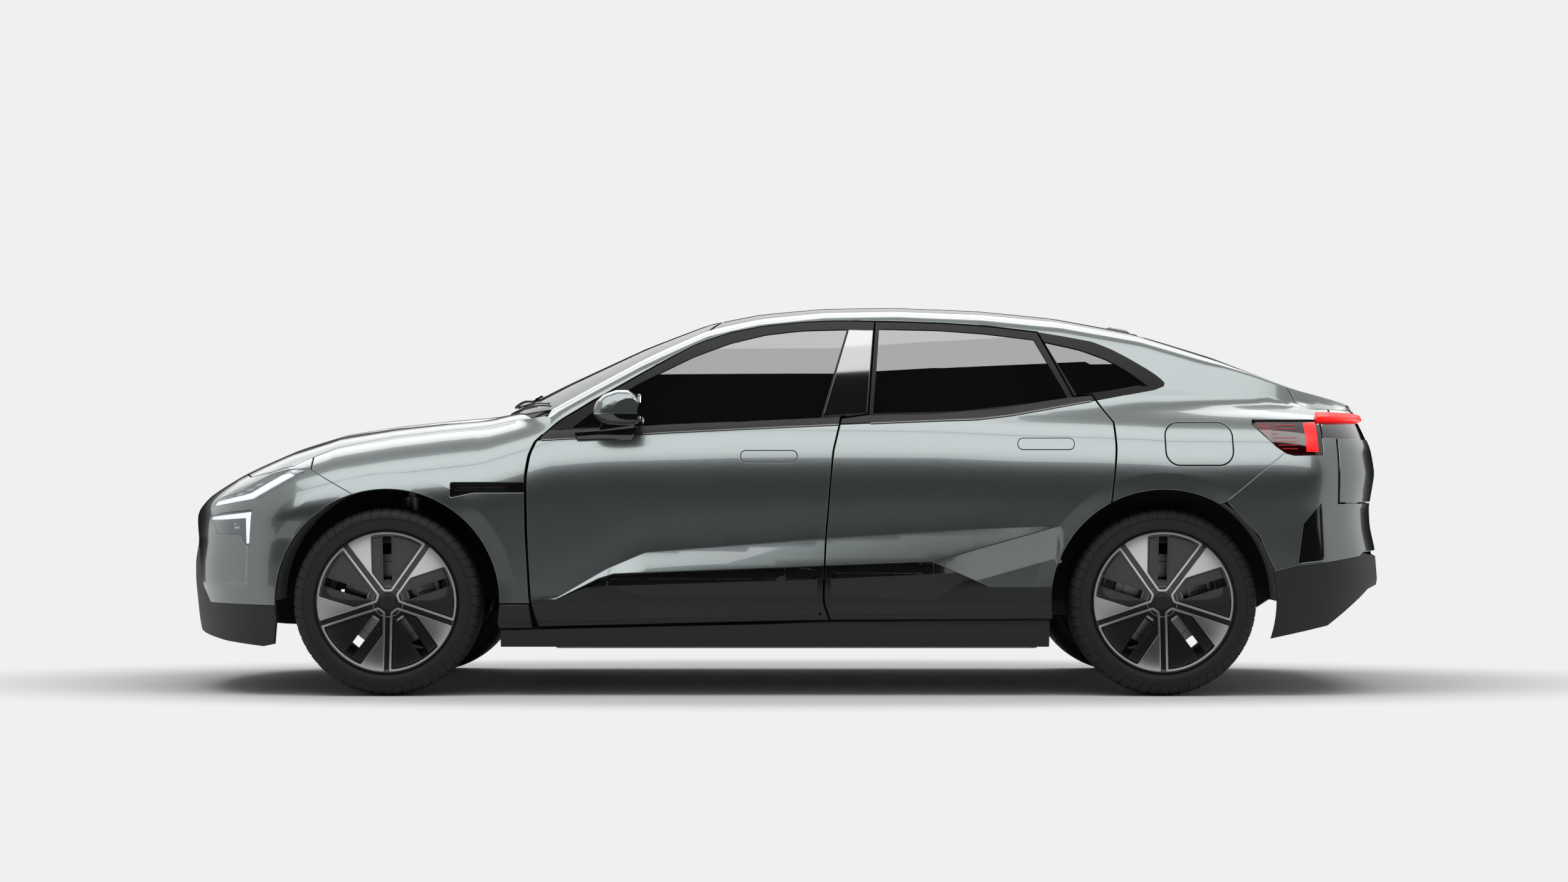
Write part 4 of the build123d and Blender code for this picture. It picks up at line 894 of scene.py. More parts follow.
frontHandle, rearHandle = (-167, 905, 50, 948), (905, 953, 1121, 996)
doorPieces("Front", frontDoor, frontGlass, frontHandle,
           creaseLines(catcherTop, -860, 140) + creaseLines(catcherFoot, -860, 140)[1:])
doorPieces("Rear", rearDoor, rearGlass, rearHandle, creaseLines(catcherTop, 175, 1045)
           + creaseLines(catcherFoot, 175, 580)[1:] + creaseLines(catcherFoot, 600, 1045)
           + creaseLines(lambda x: catcherFoot(x) - 120, 600, 1058) + rearArchLines)
pillarRing = ring(straight([(152, 1083), (256, 1428), (351, 1426), (321, 1095), (152, 1083)], 24))
pillarLook = (4, 22, 1.2)
pillar = slab(sidePoint, [pillarRing], [], *pillarLook, lift=0.6, face=glassFace)
putPair("pillarPanel", pillar, pillarGloss, "door_front")
print("stage: doors made")

# nose: fenders, hood, bumper, lamps
# the section on the way round the nose: full half width and how much of it height z keeps
def nosePart(x, z):
    u = np.clip(noseShare(x, z), -0.6, 1)
    return noseHalf(u), noseFlat(noseDrawn(u), z)


def fenderPoint(x, b):  # side view chart; b is the height plus how far the surface has turned in over the top
    x, b = np.asarray(x, float), np.asarray(b, float)

    def over(z):
        wide, flat = nosePart(x, z)
        return z + wide * (1 - flat) - b

    z = halve(over, np.full_like(b, 60.0), np.full_like(b, 1140.0))
    wide, flat = nosePart(x, z)
    share = ease((x + 1250) / 230)
    return np.stack([x, -(wide * flat * (1 - share) + sectionHalf(x, z, False) * share) - flare(x, z), z], -1)


def charted(chart, points):
    p = np.array(points, float)
    return [tuple(v) for v in np.stack(chart(p[:, 0], p[:, 1]), -1)]


def fenderAt(points):  # side view points to the fender's chart
    def chart(x, z):
        wide, flat = nosePart(x, z)
        return x, z + wide * (1 - flat)

    return charted(chart, points)


def fenderAtPlan(points):
    out = []
    for x, y in points:
        out.append((x, float(noseFromPlan(np.array([x]), np.array([y]))[1][0])))
    return out


def noseAt(points):  # side view points to the nose's chart
    return charted(noseFromSide, points)


def noseAtPlan(points):
    return charted(noseFromPlan, points)


hoodHalfRing = spline(hoodFront, 26) + spline(hoodSide, 26)[1:] + spline(scuttleLine, 26)[1:]
hoodRing = ring(hoodHalfRing, [(x, -y) for x, y in hoodHalfRing[::-1]])
noseLook = {"hood": (16.0, 30.0, 2.4), "fender": (14, 20, 2.2), "ventBack": (8, 14, 1.0),
            "ventBody": (12, 12, 1.0), "ventBar": (8, 10, 1.0), "foot": (14, 18, 2.0),
            "bumper": (14, 20, 2.0)}


def hoodRelief(x, y):  # two soft power creases that run forward and draw together
    line = 470 + 0.16 * (x + 1600)
    fade = ease((x + 2120) / 260) * ease((-1060 - x) / 160)
    return -5.0 * fade * ease((np.abs(y) - line) / 70 + 0.5) * ease((760 - np.abs(y)) / 200)


def hoodSkin(x, y):
    p = hoodPoint(x, y)
    p[:, 2] += hoodRelief(p[:, 0], p[:, 1])
    return p


put("hoodSkin", slab(hoodSkin, [grown(hoodRing, -half)], [], *noseLook["hood"]),
    paint, "hood", ["hood"])

fenderJoint = [(-1665, 779), (-1714, 806.5), (-1837, 875)]
fenderTop = fenderAtPlan(spline([(-1837, -800), (-1750, -775), (-1550, -748), (-1300, -735), (-1087, -738),
                                 (-985, -765)], 26))
ventRing = roundedBox(-1289, 786, -1001, 826, 9)
ventRing = [(x, z if x > -1200 else z + (x + 1200) * 0.22 * (1 if z < 800 else 0)) for x, z in ventRing]
rearEdge = [(x - shutGap, z) for x, z in spline(frontDoorNose[1:], 20)]
fenderFoot = 358
fenderRing = ring(fenderAt([(-981, fenderFoot)]), fenderAt([p for p in rearEdge if p[1] > fenderFoot + 6]),
                  fenderAt(spline([(-968, 985), (-936, 1015), (-912, 1036), (-905, 1075)])),
                  fenderAtPlan(straight([(-930, -775), (-985, -765)])), fenderTop[::-1],
                  fenderAt(straight(fenderJoint[::-1])),
                  fenderAt(straight([(-1665, 779), (-1665, 600), (-1534, 500), (-1180, fenderFoot),
                                     (-981, fenderFoot)])))
fenderHoles = [fenderAt(frontArch), fenderAt(ventRing)]
archCreases = [fenderAt(line) for line in frontArchLines]
put("fenderSkins", bothSides(slab(fenderPoint, [grown(fenderRing, -1.0)], fenderHoles, *noseLook["fender"],
                                  creases=archCreases)), paint, "root", ["fenders"])
ventBack = slab(fenderPoint, [grown(fenderAt(ventRing), 6)], [], *noseLook["ventBack"], lift=-12)
ventBody = slab(fenderPoint, [grown(fenderAt(ventRing), -1.5)],
                [fenderAt(roundedBox(-1270, 797, -1075, 815, 7))], *noseLook["ventBody"], lift=-2)
ventBar = slab(fenderPoint, [fenderAt(roundedBox(-1262, 803, -1078, 809, 3))], [], *noseLook["ventBar"],
               lift=-3)
put("ventHousings", bothSides(joined(ventBack, ventBody)), gloss, "root")
put("ventBars", bothSides(ventBar), gloss, "root")

footRing = closed([(-1101, 262), (-972, 262), (-984, 352), (-1130, 352)])
put("fenderFeet", bothSides(slab(claddingPoint, [grown(footRing, -0.5)], [frontArch], *noseLook["foot"],
                                 lift=-1)), cladding, "root")


def bumperPoint(a, b):  # the nose with the flare and the scooped corner below the lamp
    p = nosePoint(a, b)
    x, y, z = p[:, 0], p[:, 1], p[:, 2]
    out = np.stack([x + 1500, y * 1.2, 0 * x], -1)
    out /= np.maximum(np.linalg.norm(out, axis=1), 1e-6)[:, None]
    scoop = 17 * np.clip((-2086 - x) / 9, 0, 1) * ease((x + 2300) / 150)
    scoop = scoop * np.clip((z - 418) / 26, 0, 1) * ease((700 - z) / 120)
    rise = flare(x, z) * ease((x + 2040) / 200)
    return p - out * scoop[:, None] + np.stack([0 * x, -rise, 0 * x], -1)


# front bumper, from the fender joint round to the centre
upperLamp = [(-2275, 727), (-2225, 765), (-2130, 788), (-2062, 827), (-2006, 858), (-1921, 878), (-1836, 880),
             (-2034, 765), (-2085, 757), (-2208, 737)]
lowerLamp = [(-2272, 693), (-2196, 707), (-2067, 720), (-2078, 573), (-2110, 584), (-2129, 623), (-2238, 626),
             (-2252, 659)]
bumperFoot = [(-1960, 350), (-2262, 353), (-2303, 418), (-2338, 559), (-2398, 597)]
topLine = []
for x in np.linspace(-2188, -2411, 12):
    a, b = noseFromPlan(np.array([x]), np.array([0.0]))
    topLine.append((float(a[0]), float(b[0])))
hoodBeside = [p for p in spline(hoodSide, 12)[1:] if p[0] < -1841]
bumperRing = ring(noseAt(straight(bumperFoot)), [(-2420.0, 600.0), (-2420.0, 705.0)], topLine[::-1],
                  noseAtPlan(spline(hoodFront, 24)), noseAtPlan(hoodBeside),
                  noseAt(straight([(-1840, 877), (-1717, 808), (-1668, 781), (-1668, 600), (-1960, 350)])))
archAt = noseAt(frontArch)
scoopLines = [noseAt(straight([(-2084 - k, 572), (-2084 - k, 440)])) for k in (0, 11)]
scoopLines += [noseAt(straight([(-2096, 417 + k), (-2290, 417 + k)])) for k in (0, 28)]
put("frontBumperSkin", bothSides(slab(bumperPoint, [bumperRing],
                                      [archAt, noseAt(closed(upperLamp)), noseAt(closed(lowerLamp))],
                                      *noseLook["bumper"], seam=True,
                                      creases=scoopLines + [noseAt([p for p in line if p[0] < -1700])
                                                            for line in frontArchLines])), paint, "root",
    ["front_bumper"])
print("stage: nose made")

# roof, rear quarters, tailgate, rear bumper
def sideAtPlan(points):
    return [(x, float(sideFromPlan(np.array([float(x)]), np.array([float(y)]))[0])) for x, y in points]


def tailAt(points):
    return charted(tailFromSide, points)


def bothHalves(points):  # a plan ring from its left half, front to back
    return ring(points, [(x, -y) for x, y in points[::-1]])


sideLook = {"skin": (14, 22, 2.0), "flap": (8, 20, 1.4), "quarterGlass": (4.5, 22, 0.6),
            "trim": (12, 20, 1.5)}
roofLook = {"windscreen": (5, 40, 1.0), "roof": (5, 45, 1.0)}
tailLook = {"deck": (14, 26, 2.6), "back": 24, "lamp": (12, 16, 2.0), "bumper": (14, 22, 2.0),
            "insert": (10, 16, 1.0)}
footLook = {"bumper": (14, 22, 2.0), "sill": (120, 30, 3.0)}
quarterJoint = [(1815, 1060), (1936, 942), (1700, 748)]
lampEdge = [(1812, 1052), (1834, 1062), (2087, 1064), (2087, 931), (1970, 929), (1938, 937), (1900, 964)]
flapRing = roundedBox(1473, 891, 1733, 1059, 55)
# height of the tail's crease and the station where the tailgate's edge meets it
deckCrease, deckFrom = 1114.0, 2085.0


def onCrease(x):
    return (x, -float(sideHalf(np.array(x), np.array(deckCrease))))


deckSide = spline([(1437, -474), (1700, -570), (1950, -622), onCrease(deckFrom)], 24)
bodySideRing = ring([(-940.0, 1000.0), (-930.0, 1075.0)], sideAtPlan(spline(screenSide, 26)),
                    sideAtPlan(spline(roofGlassSide, 30)), sideAtPlan(straight([(1430, -468), (1434, -474)])),
                    sideAtPlan(deckSide), straight([(deckFrom, deckCrease), (2148.0, deckCrease),
                                                    (2148.0, 1092.0), (2080.0, 1092.0), (2080.0, 1070.0),
                                                    (1820.0, 1070.0)]), straight(quarterJoint),
                    straight([(1700, 748), (1465, 700), (1262, 700), (1200, 1000), (900, 990), (0, 1000),
                              (-940, 1000)]))
sideHoles = [grown(frontDoor, half), grown(rearDoor, half), grown(quarterGlass, 0.6), rearArch,
             closed(lampEdge)]
railLines = [[(x, float(np.interp(x, cornerStations, cornerTable)) + k) for x in np.arange(-860, 2060, 20.0)]
             for k in (-58, -45, -33, -22, -11, 0, 11, 22, 33, 45, 58)]
sideSkins = [slab(sidePoint, [grown(bodySideRing, -1)], sideHoles + hole, *sideLook["skin"],
                  creases=rearArchLines + railLines) for hole in ([grown(flapRing, half - 1)], [])]
put("bodySideSkins", joined(sideSkins[0], mirrored(sideSkins[1])), paint, "root",
    ["body_sides"])
flap = slab(sidePoint, [grown(flapRing, -half + 1)], [], *sideLook["flap"])
put("chargeFlapSkin", flap, paint, "charge_flap", ["charge_flap"])
quarterPane = slab(sidePoint, [grown(quarterGlass, -0.8)], [], *sideLook["quarterGlass"], lift=-4,
                   face=glassFace)
put("quarterPanes", bothSides(quarterPane), glassDark, "root", ["quarter_glass"])

# black mouldings round the side glass that stay on the body
trimTop = [(1000, 1422), (1097, 1405), (1217, 1382), (1296, 1349), (1362, 1313), (1428, 1273), (1475, 1240),
           (1496, 1217)]
trimRing = ring(spline(trimTop), straight([(1496, 1217), (1492, 1203), (1455, 1188)]),
                spline([(1455, 1188), (1380, 1174), (1300, 1160), (1206, 1142)]),
                straight([(1206, 1142), (1203, 1169), (1131, 1162), (1000, 1422)]))
quarterTrim = slab(sidePoint, [grown(trimRing, -0.5)], [grown(quarterGlass, -1), grown(rearDoor, half)],
                   *sideLook["trim"], lift=1.2, face=glassFace)
put("quarterTrims", bothSides(quarterTrim), frameBlack, "root")

screenRing = bothHalves(spline(screenFoot, 28) + spline(screenSide, 28)[1:] + spline(screenHead, 28)[1:])
put("windscreenPane", slab(roofPoint, [grown(screenRing, -1.5)], [], *roofLook["windscreen"]), glassClear,
    "root", ["windscreen"])
roofTail = straight([(1425, -470), (1433, 0)], 30)[1:]
roofRing = bothHalves(spline(roofGlassHead, 30) + spline(roofGlassSide, 30)[1:] + roofTail)
put("roofPane", slab(roofPoint, [grown(roofRing, -1.5)], [], *roofLook["roof"]), glassDark, "root",
    ["roof_glass"])


# plan chart of the deck: the roof, and past its corner the side down to the crease
def deckPoint(x, y, soft=6.0):
    x, y = np.asarray(x, float), np.asarray(y, float)
    top = roofHeight(x, y)
    side = halve(lambda z: np.abs(y) - sideHalf(x, z), np.full_like(x, 1060.0), np.full_like(x, 1420.0))
    return np.stack([x, y, (top + side - np.sqrt((top - side) ** 2 + soft**2)) / 2], -1)


rimReach = float(tailReach(np.array(deckCrease)))
rimStations = [tailStart + (1 - w**2.2) ** (1 / 6) * rimReach for w in np.linspace(0.93, 0, 26)]
deckHalf = [(1440, 0)] + deckSide + [onCrease(x) for x in rimStations if x > deckFrom + 8]
deckRing = bothHalves(straight(deckHalf[:2], 30) + deckHalf[2:])
deckRows = [[(x, way * (float(np.interp(x, cornerStations, cornerHalfTable)) + k))
             for x in np.arange(1990, 2290, 9.0)] for k in (-40, -28, -18, -10, -4, 0, 4, 10, 18, 28, 40)
            for way in (-1, 1)]
put("tailgateDeck", slab(deckPoint, [grown(deckRing, -half)], [], *tailLook["deck"], creases=deckRows,
                         face=lambda x, y: deckPoint(x, y, 110.0)), paint, "tailgate",
    ["tailgate"])
barTop, barFoot, bandFoot, backFoot = 1090, 1064, 995, 745


def backPanel(low, high, x0=2154, lift=0.0, depth=14.0, edge=2.0):
    edgeLine = tailAt(straight([(x0, high), (x0, low)]))
    box = ring(edgeLine, straight([edgeLine[-1], (2420.0, low)]), straight([(2420.0, low), (2420.0, high)]),
               straight([(2420.0, high), edgeLine[0]]))
    return bothSides(slab(tailPoint, [box], [], depth, tailLook["back"], edge, lift=lift, seam=True))


put("tailgateBack", backPanel(backFoot + half, bandFoot), paint, "tailgate")
put("tailgateBand", backPanel(bandFoot, barFoot, 2092, lift=-3), gloss, "tailgate")
put("tailBacking", backPanel(530, 790, 2200, lift=-17, depth=5, edge=1), gloss, "root")
put("tailgateLip", backPanel(barTop, deckCrease - 1, 2154, edge=3), paint, "tailgate")
put("lightBar", backPanel(barFoot + 3, barTop - 2, 2076, lift=17, depth=28, edge=5), lampRed, "tailgate",
    ["rear_light_bar"])

lampRing = tailAt(closed(lampEdge))


def tailPatch(points, depth=8, edge=0.8, lift=0.2, gap=14):
    return slab(tailPoint, [tailAt(closed(points, gap))], [], depth, gap, edge, lift=lift)


put("tailLampLenses", bothSides(slab(tailPoint, [grown(lampRing, -1.5)], [], *tailLook["lamp"], lift=-1)),
    lensDark, "root", ["tail_lamps"])
outerLens = tailPatch([(1822, 1050), (1838, 1059), (1946, 1060), (1905, 1040), (1884, 1016), (1884, 990),
                       (1896, 972), (1880, 984)])
put("tailLampWings", bothSides(outerLens), lensRed, "root")
upright = tailPatch([(2018, 944), (2068, 944), (2068, 1060), (2018, 1058)], lift=0.6, edge=2.5)
put("tailLampBars", bothSides(upright), lampRed, "root")
streakRows = ((1912, 1984, 1049), (1898, 1984, 1034), (1890, 1912, 1014), (1890, 1984, 999),
              (1896, 1984, 984), (1908, 1984, 970), (1924, 1984, 956), (1836, 1886, 1043), (1846, 1876, 1029))
streakHalf = 1.6
streaks = [tailPatch([(x, z - streakHalf), (x1, z - streakHalf), (x1, z + streakHalf), (x, z + streakHalf)],
                     5, 0.5, 0.4, 20) for x, x1, z in streakRows]
put("tailLampStreaks", bothSides(joined(*streaks)), lampStreak, "root")

rearFootTop = [(1885, 481), (1974, 503), (2085, 515), (2245, 538), (2263, 553)]
bumperRearRing = ring(tailAt(straight([(1890, 485), (1830, 620), (1702, 752), (1938, 945), (1990, 998),
                                       (2146, 998), (2146, 742)])),
                      straight([(tailAt([(2146, 742)])[0]), (2420.0, 742.0)]),
                      straight([(2420.0, 742.0), (2420.0, 556.0)]),
                      tailAt(straight([(2380, 556), (2263, 554)] + rearFootTop[::-1])))
footHoles = [tailAt(rearArch[:31] + rearArch[90:])]
insert = [(2076, 747), (2003, 666), (1982, 514), (2085, 525)]
insertAt = tailAt(closed(insert))
put("rearBumperSkin", bothSides(slab(tailPoint, [bumperRearRing], footHoles + [lampRing, insertAt],
                                     *tailLook["bumper"], seam=True)), paint, "root",
    ["rear_bumper"])
put("aeroInserts", bothSides(slab(tailPoint, [grown(insertAt, 4)], [], *tailLook["insert"], lift=-9)), gloss,
    "root")
rearFootRing = ring(tailAt(straight(rearFootTop)), [(2420.0, 553.0), (2420.0, 430.0)],
                    tailAt(straight([(2290, 405), (2103, 271), (1832, 215), (1700, 215), (1885, 481)])))
put("rearBumperFoot", bothSides(slab(tailPoint, [rearFootRing], footHoles, *footLook["bumper"], lift=-1.5,
                                     seam=True)), cladding, "root", ["rear_lower_bumper"])
print("stage: tail made")

# front foot, sills
frontFootRing = ring(noseAt(straight(bumperFoot)), [(-2420.0, 598.0), (-2420.0, 240.0)],
                     noseAt(straight([(-2380, 236), (-2186, 205), (-2020, 190), (-1975, 200), (-1960, 350)])))
put("frontBumperFoot", bothSides(slab(nosePoint, [frontFootRing], [archAt], *footLook["bumper"], lift=-1.5,
                                      seam=True)), cladding, "root", ["front_lower_bumper"])


sillRing = ring(straight([(-1096, 188), (1026, 188)], 40), straight([(1026, 188), (1026, 289)]),
                spline([(1026, 289), (177, 284), (-951, 258), (-1096, 254)], 40),
                straight([(-1096, 254), (-1096, 188)]))
put("sillMouldings", bothSides(slab(claddingPoint, [sillRing], [], *footLook["sill"], lift=-1)), cladding,
    "root", ["sills"])


def lampPart(points, depth, edge, lift, gap=12):
    return slab(nosePoint, [noseAt(closed(points, 12))], [], depth, gap, edge, lift=lift)


# headlamps: a dark case, a white strip that turns a corner, small projectors, and a clear cover
upperStrip = [(-2255, 730), (-2206, 741), (-2085, 762), (-2068, 767), (-1905, 858), (-1925, 864),
              (-1952, 858), (-2080, 786), (-2118, 776), (-2240, 751)]
upperPale = [(-1900, 861), (-1852, 879), (-1920, 876), (-1948, 866), (-1926, 866)]
lowerStrip = [(-2260, 679), (-2256, 690), (-2196, 698), (-2071, 712), (-2074, 592), (-2092, 588),
              (-2094, 688), (-2200, 681)]
for kind, outlinePoints in (("upper", upperLamp), ("lower", lowerLamp)):
    case = lampPart(grown(closed(outlinePoints, 30), -1), 26, 2.0, -9)
    cover = lampPart(grown(closed(outlinePoints, 30), -0.8), 3, 1.2, -0.3)
    put(kind + "LampCases", bothSides(case), lampBlack, "root",
        ["headlamps"] if kind == "upper" else [])
    put(kind + "LampCovers", bothSides(cover), lensClear, "root")
put("upperLampStrips", bothSides(lampPart(upperStrip, 6, 1.0, -4)), lampWhite, "root")
put("upperLampEnds", bothSides(lampPart(upperPale, 5, 0.8, -5)), brightTrim, "root")
put("lowerLampStrips", bothSides(lampPart(lowerStrip, 6, 1.0, -4)), lampWhite, "root")
chipsAt = ((-2105, 792), (-2068, 812), (-2150, 775))
chips = [lampPart([(x, z), (x + 26, z + 5), (x + 34, z + 13), (x + 8, z + 9)], 5, 0.6, -4, 8)
         for x, z in chipsAt]
chips += [lampPart([(-2146, 645), (-2122, 646), (-2122, 654), (-2146, 653)], 5, 0.6, -4, 8),
          lampPart([(-2146, 660), (-2136, 660), (-2136, 667), (-2146, 667)], 5, 0.6, -4, 8)]
put("lampProjectors", bothSides(joined(*chips)), brightTrim, "root")
projector = lampPart([(-2150, 632), (-2100, 634), (-2098, 684), (-2152, 680)], 6, 1.0, -7)
put("lampReflectors", bothSides(projector), gloss, "root")
print("stage: body made")

# wheels, tyres, brakes
spokes = 5
spokeTurn = 360 / spokes
rim = {"outer": 273.0, "groove": 20.0, "line": 8.0, "corner": 39.0, "hubFace": 918.0, "rimFace": 957.0,
       "slotHalf": 16.5, "slotFrom": 74.0, "slotTo": 256.0, "petalEdge": 60.0, "recess": 9.0}
rimLook = {"bright": (9, 14, 1.1), "plate": (10, 16, 1.0), "panel": (6, 16, 1.5), "cap": (12, 9, 2.0),
           "capRing": (10, 9, 0.8)}


def facePoint(u, w):  # wheel chart: across and up from the hub; the face is dished
    u, w = np.asarray(u, float), np.asarray(w, float)
    r = np.hypot(u, w)
    y = rim["hubFace"] + (rim["rimFace"] - rim["hubFace"]) * ease((r - 20) / 245)
    return np.stack([u, -y, w], -1)


def turned(points, degrees):
    c, s = math.cos(math.radians(degrees)), math.sin(math.radians(degrees))
    return [(x * c - z * s, x * s + z * c) for x, z in points]


def softened(points, radius, steps=4):  # rounds the corners of a ring
    out, n = [], len(points)
    for i in range(n):
        p, q, r = (np.array(points[(i + k) % n], float) for k in (-1, 0, 1))
        a, b = p - q, r - q
        la, lb = np.linalg.norm(a), np.linalg.norm(b)
        reach = min(radius, 0.45 * la, 0.45 * lb)
        s, e = q + a / la * reach, q + b / lb * reach
        if np.dot(a, b) / (la * lb) < -0.97:
            out.append(tuple(q))
            continue
        for k in range(steps + 1):
            t = k / steps
            out.append(tuple((1 - t) ** 2 * s + 2 * t * (1 - t) * q + t * t * e))
    return out


def sectorShapes():
    c, s = math.cos(math.radians(spokeTurn / 2)), math.sin(math.radians(spokeTurn / 2))
    reach = rim["outer"] - 3

    def lineAt(off, w):
        return (off - s * w) / c

    def onRim(off, radius):  # where a line beside the spoke meets a circle
        along = math.sqrt(radius**2 - off**2)
        return -s * along + c * off, c * along + s * off

    g, n = rim["groove"] / 2, rim["groove"] / 2 + rim["line"]
    ax, aw = onRim(g, reach)
    arc = [(reach * math.sin(t), reach * math.cos(t))
           for t in np.linspace(math.atan2(ax, aw), -math.atan2(ax, aw), 22)]
    inner = rim["corner"]
    sector = arc + [(-lineAt(g, inner), inner), (lineAt(g, inner), inner)]
    deep = inner + rim["line"]
    edge = rim["petalEdge"]
    kink = (n + c * edge) / s
    top = reach - rim["line"]
    bx, bw = onRim(n, top)
    t0, t1 = math.asin(-edge / (top - 4)), -math.atan2(bx, bw)
    arcIn = [(top * math.sin(t), top * math.cos(t)) for t in np.linspace(t0, t1, 16)]
    petal = [(-edge, kink)] + arcIn + [(-lineAt(n, deep), deep), (lineAt(n, deep), deep)]
    return softened(sector, 7), softened(petal, 6)


def slotShape():
    h, a, b = rim["slotHalf"], rim["slotFrom"], rim["slotTo"]
    return softened([(-h, a), (h, a), (h, b), (-h, b)], 6)


sector, petal = sectorShapes()
silver = joined(*[slab(facePoint, [turned(sector, k * spokeTurn)], [turned(petal, k * spokeTurn)],
                       *rimLook["bright"]) for k in range(spokes)])
slots = [turned(slotShape(), k * spokeTurn) for k in range(spokes)]
plate = slab(facePoint, [circle(0, 0, 268, 90)], slots + [circle(0, 0, 30, 40)], *rimLook["plate"],
             lift=-rim["recess"])
leftPanel = softened([(-24, 120), (-24, 252), (-54, 246), (-54, 122), (-36, 98)], 5)
rightPanel = softened([(24, 98), (40, 104), (128, 220), (96, 240), (24, 256)], 5)
# stepped panels in each petal
frames = [slab(facePoint, [turned(panel, k * spokeTurn)], [], *rimLook["panel"], lift=-4.5)
          for k in range(spokes) for panel in (leftPanel, rightPanel)]
darkFace = joined(plate, *frames)
cap = slab(facePoint, [circle(0, 0, 29.0, 40)], [], *rimLook["cap"], lift=-2.5)
capRing = slab(facePoint, [circle(0, 0, 33.5, 48)], [circle(0, 0, 30.2, 48)], *rimLook["capRing"], lift=-5)
barrel = [(272.8, 963), (272.8, 953), (254, 949), (254, 911), (232, 889), (232, 787), (254, 771), (254, 741),
          (273, 737), (273, 728), (262, 728), (244, 747), (224, 787), (224, 885), (243, 918), (258, 949),
          (268.5, 957), (270.5, 963)]
carcass = [(254.6, 104), (273.8, 107.5), (279, 112), (288, 118.4), (297, 122.6), (298.5, 123.6),
           (300.5, 123.6), (302, 123.9), (312, 126.4), (322, 125.4), (330, 122.4), (342, 114.8), (351, 104.5),
           (355.5, 92), (357, 70)]


tyreMiddle, tyreTurns = -845, 180


def tyreShell():
    outside = carcass + [(r, -y) for r, y in carcass[::-1]]
    inside = [(300, -112), (346, -98), (346, 98), (300, 112)]
    return lathe([(r, tyreMiddle - y) for r, y in outside + inside], tyreTurns)


def ribShell(low, high):
    near, far, middle = tyreMiddle - low, tyreMiddle - high, tyreMiddle - (low + high) / 2
    return lathe([(352, near), (361.8, near), (363.6, near - 2), (364.0, middle), (363.6, far + 2),
                  (361.8, far), (352, far)], tyreTurns)


treadBlock = {"count": 56, "slit": 5.0, "slant": 1.3, "radius": 355, "tall": 32}


def blockShell(side):  # one shoulder block of the tread, round the origin
    top = [(323, 126.9), (331, 124.6), (341, 118.4), (350, 109.6), (357, 98.5), (361.6, 84), (363.6, 66)]
    foot = [(353, 66), (350, 84), (345, 97), (336, 109), (322, 121)]
    profile = top + foot
    span = 360 / treadBlock["count"] - math.degrees(treadBlock["slit"] / treadBlock["radius"])
    verts, faces, n = [], [], len(profile)
    for k in range(3):
        for r, y in profile:
            lean = treadBlock["slant"] * (treadBlock["radius"] - r) / treadBlock["tall"]
            t = math.radians(90 + (k / 2 - 0.5) * span + lean)
            verts.append((r * math.cos(t), tyreMiddle - side * y, r * math.sin(t)))
    for k in range(2):
        for i in range(n):
            j = (i + 1) % n
            faces.append((k * n + i, (k + 1) * n + i, (k + 1) * n + j, k * n + j))
    faces += [tuple(range(n)), tuple(range(3 * n - 1, 2 * n - 1, -1))]
    return solid(verts, faces)


def roundAxleTree(material):  # repeats what it is given round the y axis, then moves it to the hub
    tree = bpy.data.node_groups.new("roundAxle", "GeometryNodeTree")
    sockets = {}
    for name, kind, way in (("Geometry", "NodeSocketGeometry", "INPUT"), ("Count", "NodeSocketInt", "INPUT"),
                            ("Hub", "NodeSocketVector", "INPUT"),
                            ("Geometry", "NodeSocketGeometry", "OUTPUT")):
        sockets[name + way] = tree.interface.new_socket(name, in_out=way, socket_type=kind)
    start, end = tree.nodes.new("NodeGroupInput"), tree.nodes.new("NodeGroupOutput")
    points = tree.nodes.new("GeometryNodePoints")
    index = tree.nodes.new("GeometryNodeInputIndex")
    share, angle = fresh(tree, "Math"), fresh(tree, "Math")
    share.operation, angle.operation = "DIVIDE", "MULTIPLY"
    angle.inputs[1].default_value = 2 * math.pi
    turn = fresh(tree, "CombineXYZ")
    place = tree.nodes.new("GeometryNodeInstanceOnPoints")
    real = tree.nodes.new("GeometryNodeRealizeInstances")
    paintIt = tree.nodes.new("GeometryNodeSetMaterial")
    paintIt.inputs["Material"].default_value = material
    for out, into in ((start.outputs["Count"], points.inputs["Count"]),
                      (start.outputs["Hub"], points.inputs["Position"]), (index.outputs[0], share.inputs[0]),
                      (start.outputs["Count"], share.inputs[1]), (share.outputs[0], angle.inputs[0]),
                      (angle.outputs[0], turn.inputs["Y"]), (points.outputs[0], place.inputs["Points"]),
                      (start.outputs["Geometry"], place.inputs["Instance"]),
                      (turn.outputs[0], place.inputs["Rotation"]), (place.outputs[0], real.inputs[0]),
                      (real.outputs[0], paintIt.inputs["Geometry"]), (paintIt.outputs[0], end.inputs[0])):
        tree.links.new(out, into)
    return tree, sockets["CountINPUT"].identifier, sockets["HubINPUT"].identifier


def bakedMesh(piece):
    graph = bpy.context.evaluated_depsgraph_get()
    return bpy.data.meshes.new_from_object(piece.evaluated_get(graph), depsgraph=graph)


def baked(name, shell, tree, settings, body):  # runs a node tree on a shell and keeps plain mesh
    mesh = meshOf(name + "Seed", shell[0], shell[1])
    faceOutwards(mesh)
    seed = linked(name + "Seed", mesh)
    node = seed.modifiers.new("repeat", "NODES")
    node.node_group = tree
    for identifier, value in settings.items():
        node[identifier] = value
    result = bakedMesh(seed)
    seed.modifiers.remove(node)
    bpy.data.objects.remove(seed)
    result.name = name
    result.shade_smooth()
    result.set_sharp_from_angle(angle=math.radians(35))
    settle(linked(name, result), body, ())


